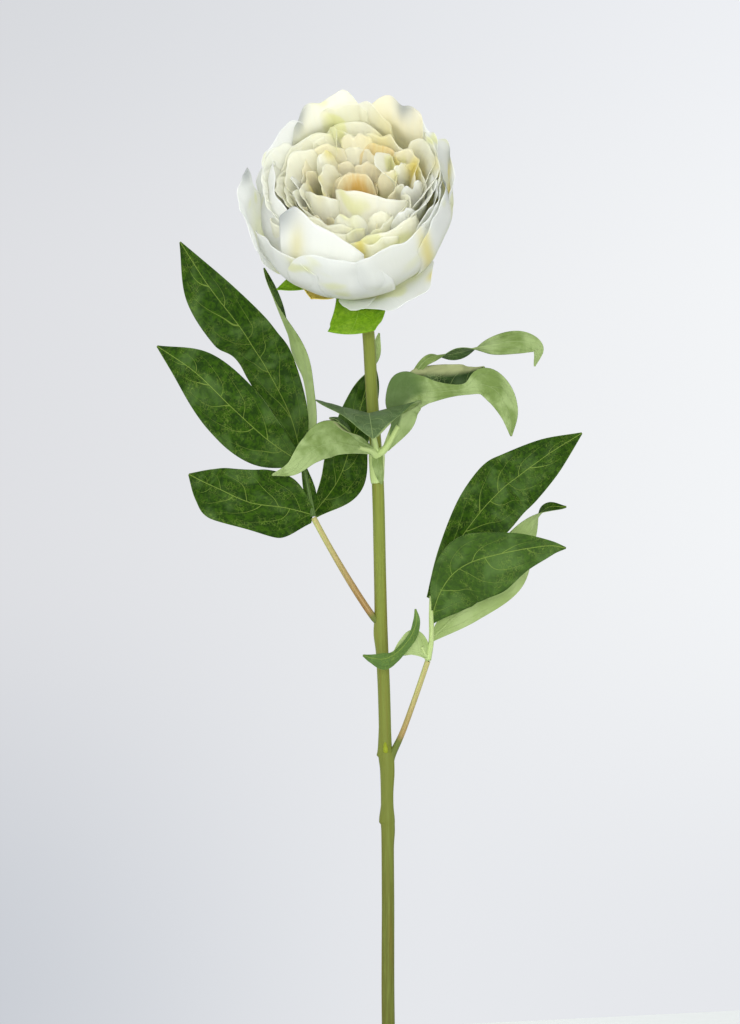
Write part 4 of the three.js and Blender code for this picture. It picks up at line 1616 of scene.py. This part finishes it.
UPPER_LEAFLETS = (
    Leaflet(
        (
            (-12.7, 4.4, 543, 1.5, 1.5, 0), (-14.4, -3, 553, 15, 15, 0), (-15.4, -13, 556.6, 30, 31, 0),
            (-15, -26, 554.4, 22, 21, 0), (-14.2, -38, 548.6, 11, 11, 0),
            (-13.2, -48, 541.5, 0.5, 0.5, 0),
        ),
        fold=13, wave=0.8, seen=(0, 0.3, -1), pale=0.3,
    ),
    # The near half of the long lobe, whose underside shows, and the hollow of its far half
    Leaflet(
        (
            (-4.5, 5.6, 536, 0.6, 0.6, 180, -10), (1.7, -1, 551, 8, 5, 180, -12),
            (4.6, -3, 560.5, 9, 12, 182, -14), (9.6, -5, 566, 8.5, 17, 184, -14),
            (15.4, -7, 568, 7, 11.5, 184, -14), (21.7, -9, 568.6, 5.5, 7, 176, -12),
            (30.9, -12, 569.2, 3.5, 4, 170, -10), (40, -14, 570.4, 3.5, 3.5, 176, -10),
            (49.1, -16, 572.7, 6, 10, 186, -12), (57.7, -17, 568, 7.5, 9.5, 196, -18),
            (63.4, -18, 556.6, 5, 6, 188, -14), (65.1, -18, 543.4, 0.5, 0.5, 180, -10),
        ),
        fold=0, wave=0.7, shaded=0.8,
    ),
    Leaflet(
        (
            (6, -2, 570, 2, 2, 0), (12, -1, 573, 10, 4, -8), (18.3, 0, 572.5, 13, 4, -6),
            (29.7, 0, 571.5, 14, 5, 4), (40.5, -4, 574.5, 11, 4, 4), (46, -9, 578.5, 6, 3, 0),
            (50, -14, 583, 0.5, 0.5, 0),
        ),
        fold=-16, wave=1.0, finish=Coat.INSIDE,
    ),
    Leaflet(
        (
            (8.6, 3.4, 577, 1.6, 1.6, 180), (18.4, 4, 588, 3, 3, 150), (33.9, 8, 591.6, 5, 5, 60),
            (54.1, 12, 596.6, 7, 6.6, 130), (71.5, 14, 598.6, 7, 6.6, 170),
            (81.6, 12, 594.6, 3.5, 3.5, 180), (79.6, 8, 584.2, 0.5, 0.5, 180),
        ),
        fold=10, wave=0.8,
    ),
    # The pale lobe on the left, and the curl of its upper margin
    Leaflet(
        (
            (-13.5, 4.4, 535.4, 2, 2, 180), (-25.1, -6, 538.2, 6, 4.5, 176),
            (-37.6, -10, 540, 13.5, 8.5, 172), (-48.4, -12, 534.6, 9, 7, 180),
            (-59.1, -12, 525.6, 4, 4.5, 180), (-70.6, -10, 521.6, 0.5, 0.5, 180),
        ),
        fold=-14, wave=0.6,
    ),
    Leaflet(
        (
            (-13.5, 3, 537, 1, 1, 200), (-21, -6, 541.5, 2.5, 3, 150), (-28, -11, 547, 3.5, 4, 60),
            (-33.5, -13, 552.5, 3, 2, 30), (-38, -12, 554, 0.5, 0.5, 10),
        ),
        fold=18, wave=0.4, finish=Coat.INSIDE,
    ),
    # The sheath's free tip
    Leaflet(
        (
            (-10.6, 7, 536, 3, 3, 180), (-10.2, 6.6, 528, 3.4, 3, 184), (-9, 7.2, 521, 2.2, 2, 180),
            (-8.2, 7.4, 516.5, 0.5, 0.5, 180),
        ),
        fold=-20, wave=0.2,
    ),
)
UPPER_STALKS = (
    ((-11.2, 8.2, 533, 2.6), (-12.4, 5.4, 541, 1.8), (-13.6, 1, 550, 1.3)),
    ((-10.6, 8.4, 533, 2.6), (-5.4, 5, 538, 2), (1.4, -0.6, 550, 1.4)),
    ((-11, 8, 533, 2.6), (-15, 3, 536, 1.9), (-25, -5, 538, 1.3)),
    ((-5.4, 5.4, 538, 2), (1.8, 5.4, 559, 1.3), (9.2, 3, 579, 1.1)),
)
UPPER_SHEATH = (
    (-10.6, 12, 517, 3.6), (-10.8, 12, 521, 4.1), (-10.9, 11.8, 527, 4.4),
    (-11, 11.4, 533, 4.6), (-11.3, 9.6, 537, 3.2),
)
RIGHT_LEAFLETS = (
    Leaflet(
        (
            (19.8, -10.2, 437, 0.8, 0.8, 0), (22.1, -12, 447.2, 2.2, 13, 0),
            (26, -15, 456.9, 7.5, 19.5, 0), (32.7, -19, 466.1, 12.5, 21.5, 0),
            (42.7, -24, 472.4, 16, 22.5, 0), (56.6, -28, 476.6, 13, 21, 0),
            (72.3, -30, 479.8, 8.7, 12, 0), (86.4, -29, 481.6, 3, 6, 0),
            (95.6, -26, 480.3, 0.5, 0.5, 0),
        ),
        fold=8, wave=0.8, pale=0.2,
    ),
    Leaflet(
        (
            (20, -9.6, 451, 3, 3, 0), (30.8, -4, 476, 8, 14, 4), (46.9, 0, 499, 15.5, 19, 8),
            (60, 2, 513, 18, 19, 0), (70, 2, 521, 16, 18, -4), (88.1, 1, 534.3, 9.5, 12, -6),
            (106, -4, 545.6, 0.5, 0.5, 0),
        ),
        fold=14, wave=1.4,
    ),
    Leaflet(
        (
            (20, -8.6, 428.5, 2, 2, 180), (41.3, 6, 447, 10.5, 11, 176), (61.1, 14, 466, 14.7, 13, 172),
            (75, 18, 486, 7, 9, 196), (86, 18, 502, 4, 5, 300), (98.2, 14, 503.6, 0.5, 0.5, 350),
        ),
        fold=14, wave=1,
    ),
    # The small lobe by the stem: its pale underside, and the crescent of its upper face
    Leaflet(
        (
            (17.9, -9, 417.5, 1, 1, 180), (13.8, -11, 420.4, 8.5, 2, 180),
            (9, -12.5, 422, 12, 2.5, 184), (4, -13, 421.5, 7, 2.5, 180),
            (-2, -14, 419.6, 0.5, 0.5, 180),
        ),
        fold=8, wave=0.3,
    ),
    Leaflet(
        (
            (-18.9, -17, 419.4, 0.5, 0.5, 0), (-14, -18, 418, 2, 3, 0), (-7.4, -18, 417.4, 3.4, 6.2, 0),
            (-1.7, -17, 419.6, 2, 4.6, 8), (4, -15.4, 424.4, 2, 3.4, 0),
            (8.9, -14.6, 431, 1.8, 3.4, -8), (11.6, -14.6, 439, 2, 2, 0),
            (10.9, -14.6, 445.6, 0.5, 0.5, 0),
        ),
        fold=12, wave=0.3, pale=0.7,
    ),
)
RIGHT_STALKS = (
    ((18.1, -8, 416.4, 1.9), (20, -9.4, 427.8, 1.5), (20, -10.4, 442, 1.4), (20.2, -10.8, 453, 1.3)),
    ((18.1, -8, 416.4, 1.5), (16.4, -9.4, 419.4, 1.2), (14.6, -11, 424, 1)),
)
LEAVES = (
    Leaf("left_leaf", "leaf", "leaf_left", LEFT_LEAFLETS, LEFT_STALKS, DARK_LEAF, DARK_STALK, seed=1.0),
    Leaf(
        "right_leaf", "leaf", "leaf_right", RIGHT_LEAFLETS, RIGHT_STALKS, DARK_LEAF, GREEN_STALK,
        seed=61.0,
    ),
    Leaf(
        "upper_leaf", "young_leaf", "leaf_upper", UPPER_LEAFLETS, UPPER_STALKS, YOUNG_LEAF, GREEN_STALK,
        sheath=UPPER_SHEATH, inner_finish=SHADED_POCKET_LEAF, seed=127.0,
    ),
)


# The stem and the two leaf stalks that leave it


@dataclass(frozen=True)
class Swelling:
    """A place where the stem stands out: its height, its turn round the stem, and how far and wide it goes.

    A ledge rises slowly from above and ends in a step, fall high, below.
    """

    height: float
    turn: float
    out: float
    reach: float
    spread: float
    ledge: bool = False
    fall: float = 1.2

    def at(self, z: Array, turn: Array) -> Array:
        """How far it stands out.

        Args:
            z: heights.
            turn: turns round the stem, in radians.

        Returns:
            Millimetres at each.
        """
        away = np.angle(np.exp(1j * (turn - math.radians(self.turn))))
        up = z - self.height
        if self.ledge:
            rise = np.maximum(np.where(up > 0, 1 - up / self.reach, 1 + up / self.fall), 0)
        else:
            rise = hump(up, 0, self.reach)
        return self.out * hump(away, 0, self.spread) * rise


@dataclass
class Stalks:
    """The stem with the dormant bud at its node, and the petioles of the two lower leaves."""

    stem: Stations = (
        (4, -1, 8.6, 3.6), (-0.2, -0.5, 105, 3.7), (-4.3, 0, 200, 3.7), (-4.6, 2, 279, 3.6),
        (-4.8, 3, 316, 3.6), (-4.9, 3, 325, 4.1), (-5, 3.3, 334, 3.6), (-5.3, 3.8, 352, 3.7),
        (-5.7, 4, 361, 4.3), (-6, 4.3, 368, 3.6), (-6.8, 5, 399, 3.5), (-8.3, 7, 433, 3.6),
        (-9.1, 9, 467, 3.5), (-10.4, 12, 519, 3.5), (-13.6, 15, 565, 3.5), (-15.3, 18, 597, 3.5),
        (-17.2, 23, 619, 3.4), (-18.6, 28, 634, 3.4), (-19.5, 32, 644.5, 3.5),
        (-19.9, 31.6, 653.4, 3.7),
    )
    left: Stations = (
        (-8.3, 7, 437, 2.3), (-13, 7, 440.4, 2), (-25.2, 8, 458.7, 1.9),
        (-37.8, 10, 479.9, 1.7), (-47.3, 12, 497.2, 1.7),
    )
    right: Stations = (
        (-5.4, 3.4, 345, 2.4), (-4.4, 3.4, 353, 2.8), (-2.4, 3.6, 361, 2.2),
        (3.5, 1, 374, 1.7), (10, -3, 392, 1.6), (18, -8, 415.8, 1.6),
    )
    bud: Stations = (
        (-5.6, 1.5, 362, 0.4), (-5.9, 0.8, 364, 1.5), (-6.1, 1.0, 367, 1.2), (-6.4, 1.9, 370.5, 0.3),
    )
    swellings: tuple[Swelling, ...] = (
        Swelling(361.5, 185, 1.0, 16, 0.5, ledge=True),
        Swelling(323, 185, 0.8, 10, 0.5, ledge=True),
        Swelling(318, 0, 0.6, 6, 0.6),
        Swelling(352, -10, 0.9, 9, 0.6),
        Swelling(431, 180, 0.9, 7, 0.7),
    )
    stem_sides: int = 40
    stem_steps: int = 420
    skin: StemFinish = StemFinish(
        "stem",
        low=(81, 84, 22),
        high=(119, 130, 48),
        streak=(110, 122, 48),
        blush=(108, 92, 27),
        blush_share=0.45,
        low_end=150,
        high_end=520,
    )
    bud_skin: StemFinish = StemFinish(
        "bud",
        low=(130, 144, 20),
        high=(130, 144, 20),
        streak=(146, 154, 44),
        blush=(108, 92, 27),
        blush_share=0.0,
    )
    petiole_skin: StemFinish = StemFinish(
        "petiole",
        low=(134, 100, 50),
        high=(172, 176, 108),
        streak=(180, 156, 106),
        blush=(168, 130, 90),
        blush_share=0.6,
        low_end=8,
        high_end=72,
        heel=(96, 108, 44),
    )

    def relief(self, heights: Array, turn: Array) -> Array:
        """How far the stem's swellings and its faint ribs stand out.

        Args:
            heights: the heights of its rings.
            turn: the turns of its sides, in radians.

        Returns:
            Millimetres, heights by turns.
        """
        z, around = np.meshgrid(heights, turn, indexing="ij")
        ribs = 0.08 * np.sin(5 * around + 0.01 * z) + 0.06 * np.sin(9 * around - 0.02 * z)
        return sum(swelling.at(z, around) for swelling in self.swellings) + ribs

    def build(self) -> None:
        """Builds and dresses the stem and the petioles."""
        rod = Rod(self.stem, self.stem_sides, self.stem_steps)
        heights = rod.frames()[0][:, 2]
        stem = Skin()
        rod.add_to(stem, {}, swelling=self.relief(heights, turns(self.stem_sides)))
        Rod(self.bud, sides=16, steps=12).add_to(stem, {}, finish=1)
        stem.piece("flower_stem", "stem", ["stem"], [self.skin.material(), self.bud_skin.material()])
        for side, stations, heel_end in (("left", self.left, 5.0), ("right", self.right, 25.0)):
            petiole = Skin()
            Rod(stations, sides=24, steps=60).add_to(petiole, {})
            name = f"{side}_petiole"
            finish = replace(self.petiole_skin, name=name, heel_end=heel_end)
            petiole.piece(name, "petiole", [f"petiole_{side}"], [finish.material()])


# The vase and its water


@dataclass
class BudVase:
    """A plain pale bud vase with a slim neck, and the water in it.

    foot, belly, neck, lip and throat are radii. The profiles' own numbers are how far each of their points
    stands off from those. clearance is the gap between water and wall.
    """

    height: float = 200
    foot: float = 36
    belly: float = 43
    neck: float = 11.6
    lip: float = 14.2
    wall: float = 4.2
    floor: float = 8
    throat: float = 8.2
    water_level: float = 118
    clearance: float = 0.35
    segments: int = 128
    rows: int = 96

    def outside(self) -> Stations:
        """The outer profile from the foot to the lip.

        Returns:
            Stations of radius and height.
        """
        return (
            (self.foot - 2, 0), (self.foot, 1.6), (self.belly - 2, 22), (self.belly, 44),
            (self.belly - 4, 68), (self.belly - 14, 90), (self.neck + 9, 112), (self.neck + 3, 134),
            (self.neck, 160), (self.neck + 0.4, 182), (self.lip - 0.4, self.height - 4),
            (self.lip, self.height - 1.6), (self.lip - 1, self.height),
        )

    def inside(self) -> Stations:
        """The inner profile from the lip to the floor.

        Returns:
            Stations of radius and height.
        """
        inner = self.belly - self.wall
        return (
            (self.throat + 2.6, self.height), (self.throat + 0.6, self.height - 4), (self.throat, 184),
            (self.throat + 0.2, 160), (self.throat + 2, 136), (self.throat + 7, 114), (inner - 13, 90),
            (inner - 4, 68), (inner, 46), (inner - 2, 24), (self.foot - 10, self.floor + 2),
            (self.foot - 16, self.floor),
        )

    def body(self, name: str, slot: str, node: str, profile: Stations, finish: Owner) -> None:
        """Makes a piece that is turned from one profile.

        Args:
            name: the piece's name.
            slot: its material slot, passed on to the piece.
            node: the CAD node that it stands for.
            profile: stations of radius and height, from axis to axis.
            finish: its material.
        """
        skin = Skin()
        skin.add_tube(*lathe(profile, self.segments), {})
        skin.piece(name, slot, [node], [finish])

    def build(self) -> None:
        """Builds and dresses the vase and the water, whose surface rises a little to the wall."""
        fine = np.linspace(0, 1, self.rows + 1)
        outside = [(r, max(z, 0.0)) for r, z in run(self.outside(), fine)]
        inside = run(self.inside(), fine)
        shell = [(0, 0), (self.foot - 2.2, 0), *outside, *inside, (0, self.floor)]
        self.body("bud_vase", "glaze", "vase", shell, GlazeFinish().material())
        level, bottom = self.water_level, self.floor + self.clearance
        wetted = [(r - 1.2 * self.clearance, z) for r, z in inside if self.floor + 3 < z < level]
        rim = wetted[0][0]
        surface = [(0, level - 0.6), (4.4, level - 0.5), (rim - 2.5, level - 0.7), (rim - 0.6, level)]
        water = [*surface, *wetted, (self.foot - 16, bottom), (0, bottom)]
        self.body("vase_water", "water", "water", water, WaterFinish().material())


# The studio


@dataclass(frozen=True)
class Lamp:
    """A large soft round lamp: its place and width in metres and its power in watts."""

    name: str
    place: Point
    width: float
    watts: float

    def build(self, aim: Point) -> None:
        """Hangs the lamp.

        Args:
            aim: the point that it is turned to.
        """
        data = bpy.data.lights.new(self.name, "AREA")
        data.shape = "DISK"
        data.size = self.width
        data.energy = self.watts
        lamp = bpy.data.objects.new(self.name, data)
        lamp.location = self.place
        lamp.rotation_euler = (Vector(aim) - Vector(self.place)).to_track_quat("-Z", "Y").to_euler()
        bpy.context.scene.collection.objects.link(lamp)


@dataclass
class Studio:
    """The photograph's view, its soft light, its pale background and a pale floor.

    The background has a colour at the left and one at the right, high up, at the height of the eye and low
    down. The board under the vase reaches board_side to both sides, board_front to the front and
    board_back to the back, lies board_drop below the vase's foot and has grain that deep, in metres, and
    is turned by board_turn degrees. The scales are in blotches to a metre.
    """

    eye: Point = (-0.01486, -1.9, 0.50057)
    focal_pixels: float = 3325.0
    long_side: int = 1024
    sensor: float = 36.0
    aim: Point = (0, 0, 0.5)
    lamps: tuple[Lamp, ...] = (
        Lamp("key", (1.0, -1.9, 1.0), 1.4, 4),
        Lamp("front", (-0.05, -2.3, 0.62), 0.6, 21),
        Lamp("fill", (-1.3, -1.5, 0.4), 1.6, 11),
        Lamp("low", (0.5, -1.85, 0.15), 0.9, 7),
        Lamp("top", (0.1, 0.5, 2.0), 1.2, 2),
        Lamp("back", (-1.3, 0.8, 0.9), 1.4, 6),
    )
    high: tuple[Colour, Colour] = ((211, 213, 217), (241, 243, 247))
    middle: tuple[Colour, Colour] = ((219, 220, 224), (246, 248, 250))
    low: tuple[Colour, Colour] = ((199, 203, 210), (230, 232, 236))
    board: tuple[Colour, Colour] = ((200, 203, 205), (206, 209, 210))
    # The white of painted light on the board's far edge
    board_far_light: Colour = (247, 250, 245)
    board_turn: float = 17.8
    board_back: float = 1.264
    board_front: float = 0.9
    board_side: float = 1.3
    board_drop: float = 0.0003
    grain: float = 0.0002
    grain_scale: float = 700.0
    cloud_scale: float = 5.0

    def camera(self) -> None:
        """Sets the camera level, looking along +Y."""
        data = bpy.data.cameras.new("camera")
        data.sensor_width = self.sensor
        data.lens = self.focal_pixels / self.long_side * self.sensor
        data.clip_start, data.clip_end = 0.01, 50
        camera = bpy.data.objects.new("camera", data)
        camera.location = self.eye
        camera.rotation_euler = (math.pi / 2, 0, 0)
        bpy.context.scene.collection.objects.link(camera)
        bpy.context.scene.camera = camera

    def backdrop(self) -> None:
        """A pale world, brighter to the right and darkest at the low left."""
        paint = Paint(bpy.data.worlds.new("backdrop"))
        x, _, z = paint.split(paint.nodes.new("ShaderNodeTexCoord").outputs["Generated"])
        across = paint.step(x, -0.2, 0.2)
        colour = paint.mix(across, *self.middle)
        low = paint.mix(paint.step(x, -0.15, 0.03), *self.low)
        colour = paint.mix(paint.step(z, -0.002, -0.147), colour, low)
        colour = paint.mix(paint.step(z, 0.06, 0.17), colour, paint.mix(across, *self.high))
        background = paint.nodes.new("ShaderNodeBackground")
        paint.put(background.inputs["Color"], colour)
        bpy.context.scene.world = paint.out(background.outputs[0])

    def floor(self) -> None:
        """A plain white board under the vase, whose far edge shows low at the right of the photograph."""
        mesh = bpy.data.meshes.new("floor")
        side, back, front = self.board_side, self.board_back, -self.board_front
        places = [(-side, front, 0), (side, front, 0), (side, back, 0), (-side, back, 0)]
        mesh.from_pydata(places, [], [[0, 1, 2, 3]])
        mesh.attributes.new("far", "FLOAT", "POINT").data.foreach_set("value", (0.0, 0.0, 1.0, 1.0))
        paint = Paint(bpy.data.materials.new("floor"))
        cloud = paint.noise(paint.place(), self.cloud_scale, 3.0)
        tone = paint.mix(paint.step(cloud, 0.3, 0.7), *self.board)
        # Painted light: the board whitens towards its far edge
        tone = paint.mix(paint.step(paint.marks("far")[0], 0.5, 0.95), tone, self.board_far_light)
        normal = paint.bump(paint.noise(paint.place(), self.grain_scale, 2.0), self.grain)
        mesh.materials.append(paint.out(paint.principled(base_color=tone, roughness=0.8, normal=normal)))
        floor = bpy.data.objects.new("floor", mesh)
        floor.location = (0, 0, -self.board_drop)
        floor.rotation_euler = (0, 0, math.radians(self.board_turn))
        bpy.context.scene.collection.objects.link(floor)
        floor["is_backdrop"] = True

    def build(self) -> None:
        """Sets up the camera, the background, the lamps and the floor."""
        self.camera()
        self.backdrop()
        for lamp in self.lamps:
            lamp.build(self.aim)
        self.floor()
        bpy.context.scene.view_settings.view_transform = "Standard"
        log.info("studio: camera, background, %d lamps and floor", len(self.lamps))


def corners() -> list[list[float]]:
    """The lowest and highest corners of what shows, as plain lists."""
    return [list(corner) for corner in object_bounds()]


def main() -> None:
    """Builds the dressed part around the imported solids."""
    logging.basicConfig(level=logging.INFO, format="%(name)s: %(message)s")
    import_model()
    bloom = Bloom()
    for assembly in (Studio(), bloom, Calyx(bloom), *LEAVES, Stalks(), BudVase()):
        assembly.build()


if __name__ == "__main__":
    main()
